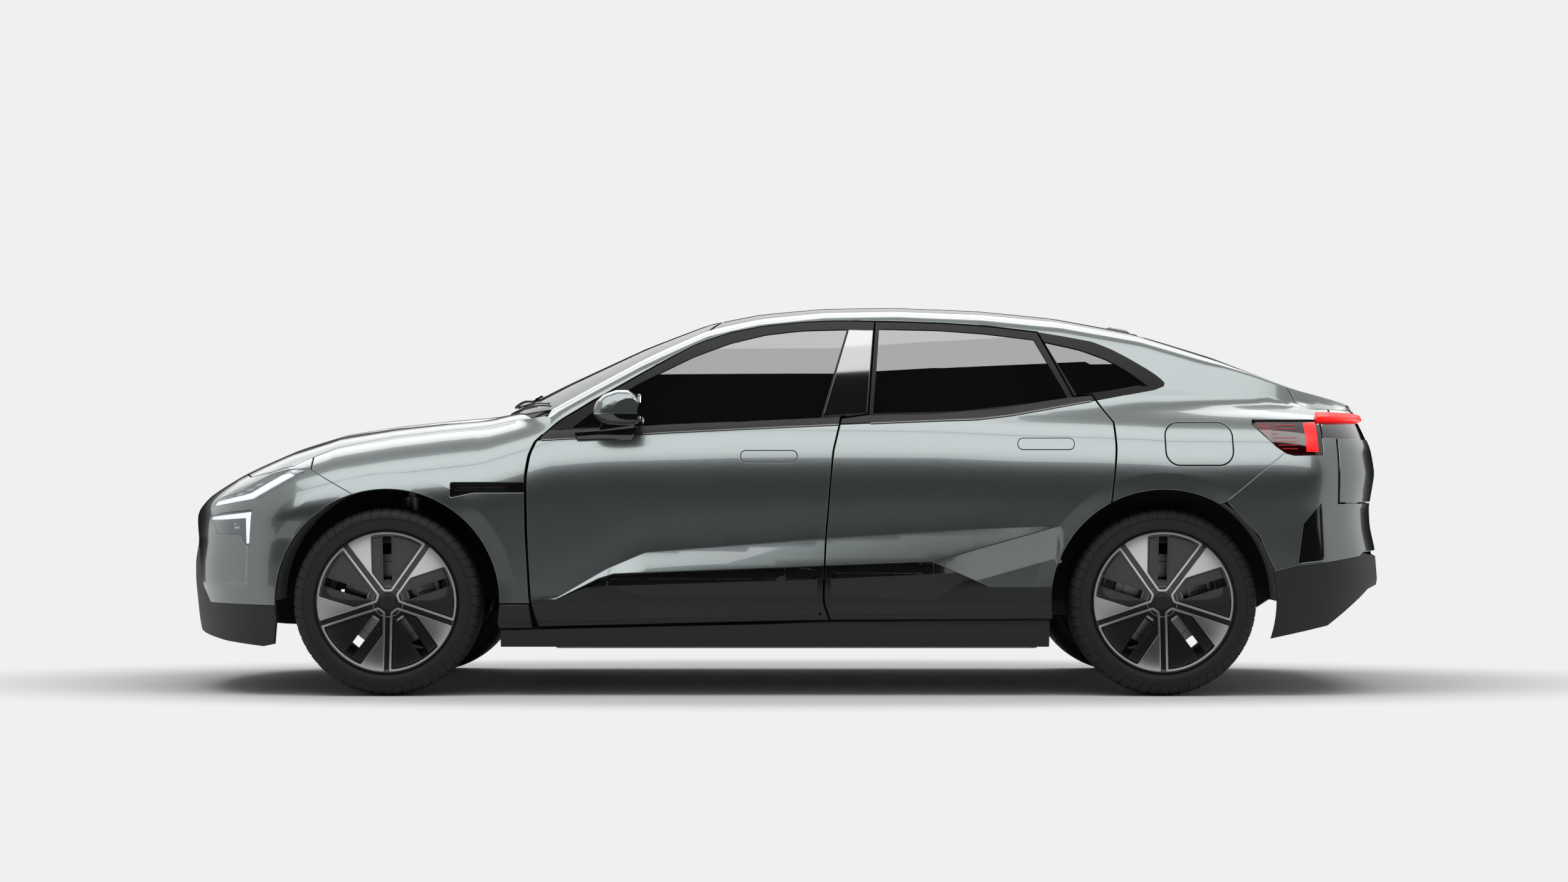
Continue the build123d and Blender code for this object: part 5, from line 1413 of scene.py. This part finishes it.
def sector3d(r0, r1, a0, a1, y0, y1, steps):  # a block bent round the axle
    verts = []
    for k in range(steps + 1):
        t = math.radians(a0 + (a1 - a0) * k / steps)
        verts += [(r * math.cos(t), y, r * math.sin(t)) for r, y in ((r0, y0), (r1, y0), (r1, y1), (r0, y1))]
    return solid(verts, cappedBand(steps + 1, 4))


def shifted(shell, hub):
    verts, faces, loops = shell
    return np.asarray(verts, float) + [hub[0], 0, hub[1]], faces, loops


tread, countInput, hubInput = roundAxleTree(rubber)
bolts, boltCount, boltHub = roundAxleTree(steel)
vaneCount = 36
rimShell = lathe([(r, -y) for r, y in barrel], 160)
tyreBody = gathered(tyreShell(), ribShell(20, 58), ribShell(-13, 13), ribShell(-58, -20))
hubShell = lathe([(r, -y) for r, y in ((30, 905), (60, 912), (84, 905), (88, 880), (84, 800), (34, 800))], 72)
discShell = gathered(lathe([(r, -y) for r, y in ((90, 828), (153, 828), (155, 826), (182, 826), (184, 824),
                                                 (184, 818), (150, 818), (150, 825), (90, 825))], 120),
                     lathe([(r, -y) for r, y in ((150, 808), (182, 808), (184, 806), (184, 800), (150, 800))],
                           120))
vane = gathered(sector3d(153, 180, 89, 91, -818.5, -807.5, 2))
caliperShell = gathered(sector3d(108, 190, -30, 30, -862, -831, 12),
                        sector3d(108, 190, -30, 30, -795, -772, 12),
                        sector3d(189, 206, -30, 30, -862, -772, 12),
                        sector3d(118, 178, -17, 17, -868, -861, 6))
for place, hub in (("front", frontAxle), ("rear", rearAxle)):
    hubAt = (hub[0] / 1000, 0, hub[1] / 1000)
    for side in ("left", "right"):
        way, body, tag = ways[side], f"wheel_{place}_{side}", place.capitalize() + side.capitalize()
        put(f"rimFaceBright{tag}", way(shifted(silver, hub)), machined, body, [body])
        put(f"rimFaceDark{tag}", way(shifted(darkFace, hub)), wheelBlack, body)
        put(f"hubCap{tag}", way(shifted(joined(cap, capRing), hub)), wheelBlack, body)
        putSolid(f"rimBarrel{tag}", way(shifted(rimShell, hub)), wheelBlack, body)
        putSolid(f"wheelHub{tag}", way(shifted(hubShell, hub)), castMetal, body)
        putSolid(f"tyre{tag}", way(shifted(tyreBody, hub)), rubber, body,
                 [f"tyre_{place}_{side}"], angle=50)
        putSolid(f"brakeDisc{tag}", way(shifted(discShell, hub)), steel, body)
        for shoulder, name in ((1, "Outer"), (-1, "Inner")):
            baked(f"tread{name}{tag}", way(blockShell(shoulder)), tread,
                  {countInput: treadBlock["count"], hubInput: hubAt}, body)
        baked(f"discVanes{tag}", way(vane), bolts, {boltCount: vaneCount, boltHub: hubAt}, body)
        holder = f"knuckle_front_{side}" if place == "front" else "root"
        putSolid(f"brakeCaliper{tag}", way(shifted(caliperShell, hub)), caliperPaint, holder,
                 bevel=3)
print("stage: wheels made")

# mirrors, pod, wipers, trims
mirrorLook = {"inner": 900.0, "outer": 1062.0, "split": 1090.0, "seam": 2.5}
mirrorOutline = spline([(-553, 1060), (-551, 1125), (-560, 1146), (-582, 1170), (-600, 1182), (-648, 1181),
                        (-695, 1163), (-722, 1136), (-732, 1112), (-734, 1085), (-722, 1070), (-690, 1052),
                        (-640, 1046), (-590, 1046), (-562, 1050), (-553, 1060)], 9)[:-1]


def mirrorShell(low=-math.inf, high=math.inf):
    rows, inner, outer = [], mirrorLook["inner"], mirrorLook["outer"]
    for t in np.concatenate([[-1.0], -np.cos(np.linspace(0.12, math.pi - 0.12, 15)), [1.0]]):
        f = (1 - min(1, abs(t)) ** 2.6) ** (1 / 2.6) if abs(t) < 1 else 0.22
        f = max(f, 0.22)
        y = -(inner + outer) / 2 + t * (inner - outer) / 2
        row = []
        for x, z in mirrorOutline:
            fx = 0.42 + 0.58 * f
            px = -556 + (x + 556) * fx
            pz = 1096 + (z - 1096) * (0.5 + 0.5 * f)
            py = y + 14 * (px + 640) / 90
            row.append((px, py, min(max(pz, low), high)))
        rows.append(row)
    return solid([p for row in rows for p in row], cappedBand(len(rows), len(rows[0])))


capShell = mirrorShell(low=mirrorLook["split"] + mirrorLook["seam"] / 2)
baseShell = mirrorShell(high=mirrorLook["split"] - mirrorLook["seam"] / 2)
wholeShell, mirrorMiddle = mirrorShell(), np.array([-620, -981, 1094])
coreShell = solid((wholeShell[0] - mirrorMiddle) * 0.985 + mirrorMiddle, wholeShell[1])
paneYZ = softened([(-1046, 1066), (-922, 1066), (-916, 1140), (-944, 1164), (-1022, 1160), (-1046, 1120)], 14)
mirrorPane = prism(paneYZ, -556, -549.5, "yz")
mirrorRim = prism(grown(paneYZ, 5), -562, -552, "yz")
footShell = gathered(
    prism([(-812, 1019), (-566, 1042), (-592, 990), (-628, 988), (-664, 996), (-800, 993)], -928, -862),
    prism([(-716, 1022), (-580, 1036), (-566, 1064), (-700, 1064)], -962, -896))
for side in ("left", "right"):
    way, body, tag = ways[side], f"door_front_{side}", side.capitalize()
    putSolid(f"mirrorCap{tag}", way(capShell), paint, body, [f"mirror_{side}"], angle=50)
    putSolid(f"mirrorBase{tag}", way(baseShell), gloss, body, angle=50)
    putSolid(f"mirrorCore{tag}", way(coreShell), brightTrim, body, angle=60)
    putSolid(f"mirrorRim{tag}", way(mirrorRim), gloss, body, bevel=1.2)
    putSolid(f"mirrorPane{tag}", way(mirrorPane), mirrorFace, body)
    putSolid(f"mirrorFoot{tag}", way(footShell), gloss, body, bevel=5)

# narrow line under the side glass, and the cowl's cover
trimLook = {"beltLine": (6, 24, 0.8), "cowl": (8, 30, 1.5)}
for side, leaf, x0, x1 in (("Front", frontDoor, -940, 330), ("Rear", rearDoor, 335, 1200)):
    top = [(x, float(np.interp(x, [p[0] for p in beltFoot], [p[1] for p in beltFoot])) + 2)
           for x in np.linspace(x0, x1, 40)]
    line = slab(sidePoint, [grown(leaf, -half), ring(top, [(x, z - 5.0) for x, z in top[::-1]])], [],
                *trimLook["beltLine"], lift=3.4)
    putPair(f"beltLine{side}", line, gloss, f"door_{side.lower()}")

podOutline = softened([(-50, -64), (44, -64), (50, -50), (50, 50), (44, 64), (-50, 64)], 14)
podLook = {"station": 1382, "slope": 0.19, "levels": ((0, 1428), (0, 1446), (-3, 1454), (-9, 1459),
                                                      (-18, 1461.5))}
podRings = [[(podLook["station"] + x, y, z - x * podLook["slope"]) for x, y in grown(podOutline, grow)]
            for grow, z in podLook["levels"]]
podShell = solid([p for row in podRings for p in row], cappedBand(len(podRings), len(podRings[0])))
putSolid("roofPod", podShell, gloss, "root", ["camera_pod"], angle=50)


def tube(points, radius, sides=10):  # a rod along 3-D points
    p = np.array(points, float)
    verts = []
    for k, at in enumerate(p):
        d = p[min(k + 1, len(p) - 1)] - p[max(k - 1, 0)]
        d /= np.linalg.norm(d)
        a = np.cross(d, (0, 0, 1) if abs(d[2]) < 0.9 else (1, 0, 0))
        a /= np.linalg.norm(a)
        b = np.cross(d, a)
        verts += [tuple(at + radius * (a * math.cos(t) + b * math.sin(t)))
                  for t in np.linspace(0, 2 * math.pi, sides, endpoint=False)]
    return solid(verts, cappedBand(len(p), sides))


def onRoof(x, y, up):
    return (x, y, float(roofHeight(np.array(x), np.array(y))) + up)


wipers = []
for x0, y0, x1, y1 in ((-1080, 420, -985, -260), (-1100, -150, -930, -640)):
    arm = [onRoof(x0 + (x1 - x0) * t * 0.55, y0 + (y1 - y0) * t * 0.55, 14 + 8 * math.sin(math.pi * t))
           for t in np.linspace(0, 1, 9)]
    blade = [onRoof(x0 + (x1 - x0) * t, y0 + (y1 - y0) * t, 7) for t in np.linspace(0.08, 1, 16)]
    wipers += [tube(arm, 6), tube(blade, 4.2)]
putSolid("wipers", gathered(*wipers), gloss, "root", angle=60)
cowlRing = bothHalves(spline([(-1168, 0), (-1126, -300), (-1056, -560), (-984, -745)], 30)
                      + spline([(-918, -745), (-1028, -552), (-1096, -300), (-1130, 0)], 30))
put("cowl", slab(lambda x, y: np.stack([x, y, roofHeight(x, y) - 12], -1), [cowlRing], [], *trimLook["cowl"]),
    cladding, "root")
print("stage: mirrors and trims made")

# cabin: pads puffed up by cloth pressure
padLook = {"voxel": 11.0, "pressure": 4.0, "frames": 20, "cap": 12.0, "shrink": 0.975, "seamAt": 0.60,
           "seamDeep": 5.0, "seamWide": 6.5, "fill": 0.75}


def padForm(size, bolster=0.0, corner=0.30, count=24):  # a crowned closed form: length, width, rise, under
    long, wide, rise, under = [s * padLook["shrink"] for s in size]
    verts, faces = [], []
    steps = np.linspace(-1, 1, count + 1)
    for way in (1, -1):
        for u in steps:
            for v in steps:
                edge = max(abs(u), abs(v))
                body = math.sqrt(max(0.0, 1 - edge**6))
                crown = 0.86 + 0.14 * (1 - u * u) * (1 - v * v)
                lift = (rise * crown + bolster * float(ease((abs(v) - 0.56) / 0.24))) if way > 0 else -under
                pull = 1 - 0.035 * (1 - u * u) * abs(v) ** 3 - 0.035 * (1 - v * v) * abs(u) ** 3
                verts.append((long / 2 * u * math.sqrt(1 - corner * v * v) * pull
                              / math.sqrt(1 - corner * 0.2),
                              wide / 2 * v * math.sqrt(1 - corner * u * u) * pull
                              / math.sqrt(1 - corner * 0.2), lift * body))
    side = count + 1
    for k in (0, 1):
        for i in range(count):
            for j in range(count):
                a = k * side * side + i * side + j
                quad = (a, a + side, a + side + 1, a + 1)
                faces.append(quad if k == 0 else quad[::-1])
    return solid(verts, faces)


def pointsOf(mesh):
    flat = np.empty(len(mesh.vertices) * 3)
    mesh.vertices.foreach_get("co", flat)
    return flat.reshape(-1, 3)


def puffed(shell, channels=(), seams=True):  # remesh, cloth pressure, then the sewn seams; local metres
    seed = linked("padSeed", meshOf("padSeed", shell[0], shell[1]))
    weld = seed.modifiers.new("weld", "WELD")
    weld.merge_threshold = 0.0005
    grid = seed.modifiers.new("grid", "REMESH")
    grid.mode, grid.voxel_size = "VOXEL", padLook["voxel"] / 1000
    fine = bakedMesh(seed)
    seed.modifiers.clear()
    seed.data = fine
    start = pointsOf(fine)
    puff = seed.modifiers.new("puff", "CLOTH")
    puff.settings.use_pressure = True
    puff.settings.uniform_pressure_force = padLook["pressure"]
    puff.settings.effector_weights.gravity = 0
    puff.collision_settings.use_collision = False
    puff.point_cache.frame_start, puff.point_cache.frame_end = 1, padLook["frames"]
    for at in range(1, padLook["frames"] + 1):
        bpy.context.scene.frame_set(at)
    moved = pointsOf(bakedMesh(seed)) - start
    far = np.maximum(np.linalg.norm(moved, axis=1), 1e-9)
    place = start + moved * np.minimum(1, padLook["cap"] / 1000 / far)[:, None]
    seed.modifiers.remove(puff)
    bpy.context.scene.frame_set(1)
    fine.vertices.foreach_set("co", place.ravel())
    soft = seed.modifiers.new("soft", "SUBSURF")
    soft.levels = soft.render_levels = 1
    mesh = bakedMesh(seed)
    bpy.data.objects.remove(seed)
    place = pointsOf(mesh) * 1000
    span = np.abs(place).max(0)
    up = np.clip(place[:, 2] / 12, 0, 1)
    dip = 0
    if seams:
        v = np.abs(place[:, 1]) / span[1]
        dip = padLook["seamDeep"] * np.exp(-(((v - padLook["seamAt"]) * span[1] / padLook["seamWide"]) ** 2))
        middle = np.clip((padLook["seamAt"] - v) * 12, 0, 1)
        for at in channels:
            dip = dip + 3.4 * middle * np.exp(-(((place[:, 0] / span[0] - at) * span[0]
                                                 / padLook["seamWide"]) ** 2))
    place[:, 2] -= dip * up
    return place, [tuple(p.vertices) for p in mesh.polygons], span


def frameOf(centre, lean, upright):  # where a pad's own axes point: along, across, out
    s, c = math.sin(math.radians(lean)), math.cos(math.radians(lean))
    along, out = ((s, 0, c), (-c, 0, s)) if upright else ((c, 0, s), (-s, 0, c))
    return np.array(centre, float), np.array([along, (0, 1, 0), out], float)


def putPad(name, pad, centre, lean, upright, replaces=(), twoTone=True):
    place, faces, span = pad
    at, axes = frameOf(centre, lean, upright)
    mesh = meshOf(name, place @ axes + at, faces, leather, woven)
    if twoTone:
        for face, corners in zip(mesh.polygons, faces):
            middle = place[list(corners)].mean(0)
            if abs(middle[1]) < padLook["seamAt"] * span[1] and middle[2] > 10:
                face.material_index = 1
    faceOutwards(mesh)
    mesh.shade_smooth()
    piece = linked(name, mesh)
    settle(piece, "root", replaces)


frontPads = {"Cushion": (puffed(padForm((500, 505, 62, 48), 26), (-0.34, 0.02, 0.38)), (-178, 0, 512), -4.5,
                         False), "Back": (puffed(padForm((575, 480, 50, 46), 30), (-0.45, -0.15, 0.15, 0.45)),
                                          (140, 0, 815), 16.9, True),
             "Headrest": (puffed(padForm((150, 262, 40, 36), 0, 0.4, 16), (), False), (208, 0, 1190), 9.0,
                          True)}
rearPads = {"Cushion": (puffed(padForm((385, 446, 52, 52), 14), (-0.3, 0.3)), (795, 0, 520), -5.0, False),
            "Back": (puffed(padForm((500, 446, 46, 44), 16), (-0.4, 0.0, 0.4)), (1082, 0, 790), 17.1, True),
            "Headrest": (puffed(padForm((118, 232, 32, 28), 0, 0.4, 14), (), False), (1172, 0, 1120), 10.0,
                         True)}
middlePads = {"Cushion": (puffed(padForm((380, 345, 50, 52), 0), (0.0,)), (797, 0, 518), -5.0, False),
              "Back": (puffed(padForm((480, 345, 42, 44), 0), (-0.3, 0.3)), (1084, 0, 784), 17.1, True)}
seatAway, rearSeatAway = 370, 408
seatRows = (("front", frontPads, seatAway, "front_seats"), ("rear", rearPads, rearSeatAway, "rear_seat"))
for row, pads, out, node in seatRows:
    for part, (pad, (x, _, z), lean, upright) in pads.items():
        for side, away in (("Left", -out), ("Right", out)):
            replaced = [node] if part + side == "CushionLeft" else ()
            putPad(f"{row}{part}{side}", pad, (x, away, z), lean, upright, replaced, part != "Headrest")
for part, (pad, place, lean, upright) in middlePads.items():
    putPad(f"rearMiddle{part}", pad, place, lean, upright)

# what the pads sit on: plinths, back shells, posts
plinth = [(-405, 301), (-425, 430), (-418, 478), (40, 466), (110, 500), (150, 560), (262, 1090), (246, 1112),
          (212, 1104), (120, 700), (60, 520), (84, 301)]
for side, away in (("Left", -seatAway), ("Right", seatAway)):
    putSolid(f"seatShell{side}", prism(softened(plinth, 14), away - 214, away + 214), trimSoft, "root",
             bevel=10)
    posts = gathered(*[tube([(196, away + k, 1085), (204, away + k, 1150)], 6.5) for k in (-62, 62)],
                     *[tube([(-400, away + k, 316), (80, away + k, 316)], 11, 8) for k in (-170, 170)])
    putSolid(f"seatPosts{side}", posts, steel, "root", angle=50)
bench = [(640, 301), (612, 420), (618, 472), (985, 478), (1075, 560), (1196, 1040), (1224, 1040), (1150, 700),
         (1130, 301)]
putSolid("benchShell", prism(softened(bench, 12), -632, 632), trimSoft, "root", bevel=8)
rearPosts = [tube([(1166, y + k, 1020), (1172, y + k, 1100)], 6) for y in (-rearSeatAway, rearSeatAway)
             for k in (-55, 55)]
putSolid("rearPosts", gathered(*rearPosts), steel, "root", angle=50)

# steering wheel, screens, vents, console
wheelAxes = np.array([(0, 1, 0), (-0.42, 0, 0.91), (0.91, 0, 0.42)], float)
wheelCentre = np.array((-560, -370, 905), float)


def onColumn(shell):  # from the wheel's own plane into the cabin
    verts, faces, _ = shell
    return solid(np.asarray(verts, float) @ wheelAxes + wheelCentre, faces)


def rimTube(radius, thick, count=72, sides=14):
    verts = []
    for k in range(count):
        t = 2 * math.pi * k / count
        flat = 1 - 0.05 * max(0.0, -math.sin(t)) ** 4
        for i in range(sides):
            a = 2 * math.pi * i / sides
            r = (radius + thick * 0.95 * math.cos(a)) * flat
            verts.append((r * math.cos(t), r * math.sin(t), thick * 0.9 * math.sin(a)))
    return solid(verts, bandFaces(count, sides, True))


putSolid("steeringRim", onColumn(rimTube(170, 15)), leather, "root", ["steering_wheel"],
         angle=60)
arm = softened([(-160, -16), (-60, -30), (60, -30), (160, -16), (160, 14), (60, 26), (-60, 26), (-160, 14)],
               10)
lower = softened([(-20, -20), (20, -20), (15, -158), (-15, -158)], 6)
hubPad = softened([(-66, -40), (66, -40), (60, 36), (-60, 36)], 22)
putSolid("steeringSpokes", onColumn(gathered(prism(arm, -9, 5, "xy"), prism(lower, -8, 3, "xy"))), gloss,
         "root", bevel=3)
putSolid("steeringHub", onColumn(gathered(prism(hubPad, -13, 14, "xy"),
                                          prism(circle(0, 0, 25, 40), -140, -12, "xy"))), trimSoft, "root",
         bevel=6)
screen = softened([(-178, 812), (178, 812), (178, 1000), (-178, 1000)], 14)
cluster = softened([(-500, 900), (-240, 900), (-240, 985), (-500, 985)], 12)
putSolid("screenCases", gathered(prism(screen, -676, -654, "yz"), prism(cluster, -706, -690, "yz")), gloss,
         "root", bevel=3)
putSolid("screenFaces", gathered(prism(grown(screen, -6), -655, -652.6, "yz"),
                                 prism(grown(cluster, -5), -691, -688.6, "yz")), screenFace, "root",
         bevel=0.8)
ventSlats = gathered(*[block(-678, -657, -700, 700, z, z + 5) for z in (868, 880, 892)])
putSolid("dashVents", ventSlats, gloss, "root", bevel=1.2)
putSolid("dashLine", block(-684, -662, -704, 704, 858, 861), brightTrim, "root", bevel=0.8)
armPad = puffed(padForm((300, 176, 30, 14), 0, 0.2, 16), (), False)
putPad("consoleArmrest", armPad, (-95, 0, 574), 0, False, (), False)
tray = softened([(-545, -78), (-262, -78), (-262, 78), (-545, 78)], 16)
putSolid("consoleTray", prism(tray, 552, 566, "xy"), gloss, "root", bevel=2)
cupTurns = 48
for k, x in enumerate((-330, -430)):
    turns = np.linspace(0, 2 * math.pi, cupTurns, endpoint=False)
    cup = [(x + r * math.cos(t), r * math.sin(t), z) for t in turns
           for r, z in ((38, 560), (42, 560), (42, 569), (38, 569))]
    putSolid(f"cupRing{k}", solid(cup, bandFaces(cupTurns, 4, True)), brightTrim, "root")
print("stage: cabin made")

# floor, light and camera
studio = {"backdrop": 0.871, "floorTone": 0.80, "floorHalf": 40, "fadeFrom": 1.9, "fadeTo": 2.9,
          "fadeShape": (0.72, 1.5, 0), "fill": 0.34, "flagOut": 6.5, "flagHalf": 9, "flagFoot": 0.02,
          "flagTop": {"Near": 11.2, "Far": 2.4}, "flagTone": 0.0, "sideSize": (8.6, 1.86), "sideGlow": 2.6,
          "endSize": (3.4, 2.6), "endGlow": 1.1, "tilt": 62, "wallSize": (13.0, 4.4),
          "wallGlow": {"Near": 3.4, "Far": 0.7}}


def stagePlane(name, corners, material):
    mesh = bpy.data.meshes.new(name)
    mesh.from_pydata(corners, [], [(0, 1, 2, 3)])
    mesh.materials.append(material)
    plane = linked(name, mesh)
    return plane


def grey(tone):
    return (tone, tone, tone, 1)


def floorFinish():  # a matt floor that fades into the backdrop away from the car
    m = bpy.data.materials.new("studioFloor")
    m.use_nodes = True
    t = m.node_tree
    t.nodes.clear()
    out, mix = fresh(t, "OutputMaterial"), fresh(t, "MixShader")
    matt = fresh(t, "BsdfDiffuse", {"Color": grey(studio["floorTone"])})
    glow = fresh(t, "Emission", {"Color": grey(studio["backdrop"])})
    where, squeeze, reach = fresh(t, "TexCoord"), fresh(t, "VectorMath"), fresh(t, "VectorMath")
    squeeze.operation, reach.operation = "MULTIPLY", "LENGTH"
    squeeze.inputs[1].default_value = studio["fadeShape"]
    fade = fresh(t, "MapRange", {"From Min": studio["fadeFrom"], "From Max": studio["fadeTo"]})
    fade.interpolation_type = "SMOOTHSTEP"
    for start, end in ((where.outputs["Object"], squeeze.inputs[0]),
                       (squeeze.outputs["Vector"], reach.inputs[0]),
                       (reach.outputs["Value"], fade.inputs["Value"]),
                       (fade.outputs["Result"], mix.inputs["Fac"]), (matt.outputs["BSDF"], mix.inputs[1]),
                       (glow.outputs["Emission"], mix.inputs[2]),
                       (mix.outputs["Shader"], out.inputs["Surface"])):
        t.links.new(start, end)
    return m


def flagFinish():
    m = bpy.data.materials.new("studioFlag")
    m.use_nodes = True
    dialled(m.node_tree.nodes["Principled BSDF"],
            {"Base Color": grey(0.0), "Specular IOR Level": 0.0, "Emission Color": grey(1.0),
             "Emission Strength": studio["flagTone"]})
    return m


wide = studio["floorHalf"]
stagePlane("studioFloor", [(-wide, -wide, 0), (wide, -wide, 0), (wide, wide, 0), (-wide, wide, 0)],
           floorFinish())
flagLook = flagFinish()
for side, tag in ((-1, "Near"), (1, "Far")):
    y, high = side * studio["flagOut"], studio["flagTop"][tag]
    wide, low = studio["flagHalf"], studio["flagFoot"]
    flag = stagePlane(f"flag{tag}", [(-wide, y, low), (wide, y, low), (wide, y, high), (-wide, y, high)],
                      flagLook)
    flag.visible_camera = flag.visible_diffuse = flag.visible_shadow = flag.visible_transmission = False


def lamp(name, place, size, turn, glow):  # its watts follow from the brightness that its face shows
    light = bpy.data.lights.new(name, "AREA")
    light.shape = "RECTANGLE"
    light.size, light.size_y = size
    light.energy = glow * size[0] * size[1] * math.pi
    one = linked(name, light)
    one.location, one.rotation_euler = place, [math.radians(a) for a in turn]
    return one


for side, tag, end in ((-1, "Near", "front"), (1, "Far", "rear")):
    lamp(f"sideBox{tag}", (0, side * 2.0, 4.5), studio["sideSize"], (side * -4, 0, 0), studio["sideGlow"])
    lamp(f"{end}Box", (side * 7.5, 0, 3.2), studio["endSize"], (0, side * -studio["tilt"], 0),
         studio["endGlow"])

# the wall boxes light these alone, so that glass keeps its dark foot
painted = bpy.data.collections.new("paintedPanels")
for piece in bpy.context.scene.objects:
    if piece.type == "MESH" and paint.name in [m.name for m in piece.data.materials if m]:
        painted.objects.link(piece)
for side, tag in ((-1, "Near"), (1, "Far")):
    wall = lamp(f"wallBox{tag}", (0, side * 5.6, 5.0), studio["wallSize"], (side * -studio["tilt"], 0, 0),
                studio["wallGlow"][tag])
    wall.light_linking.receiver_collection = painted

world = bpy.data.worlds.new("studioWorld")
bpy.context.scene.world = world
world.use_nodes = True
t = world.node_tree
t.nodes.clear()
out, mix, ray = fresh(t, "OutputWorld"), fresh(t, "MixShader"), fresh(t, "LightPath")
dim, plain = (fresh(t, "Background", {"Color": grey(studio[key])}) for key in ("fill", "backdrop"))
first, second = fresh(t, "Math"), fresh(t, "Math")
first.operation = second.operation = "ADD"
second.use_clamp = True
for start, end in ((ray.outputs["Is Camera Ray"], first.inputs[0]),
                   (ray.outputs["Is Glossy Ray"], first.inputs[1]), (first.outputs[0], second.inputs[0]),
                   (ray.outputs["Is Transmission Ray"], second.inputs[1]),
                   (second.outputs[0], mix.inputs["Fac"]), (dim.outputs[0], mix.inputs[1]),
                   (plain.outputs[0], mix.inputs[2]), (mix.outputs[0], out.inputs["Surface"])):
    t.links.new(start, end)

view = {"sensor": 36.0, "lens": 74.62, "shift": 0.0262, "reach": 200, "place": (0, -13.5, 0.827)}
lens = bpy.data.cameras.new("sideCamera")
lens.sensor_width, lens.lens = view["sensor"], view["lens"]
lens.shift_y, lens.clip_end = view["shift"], view["reach"]
camera = linked("sideCamera", lens)
camera.location, camera.rotation_euler = view["place"], (math.radians(90), 0, 0)
bpy.context.scene.camera = camera
bpy.context.scene.view_settings.view_transform = "Standard"
print("stage: floor, lights and camera set")
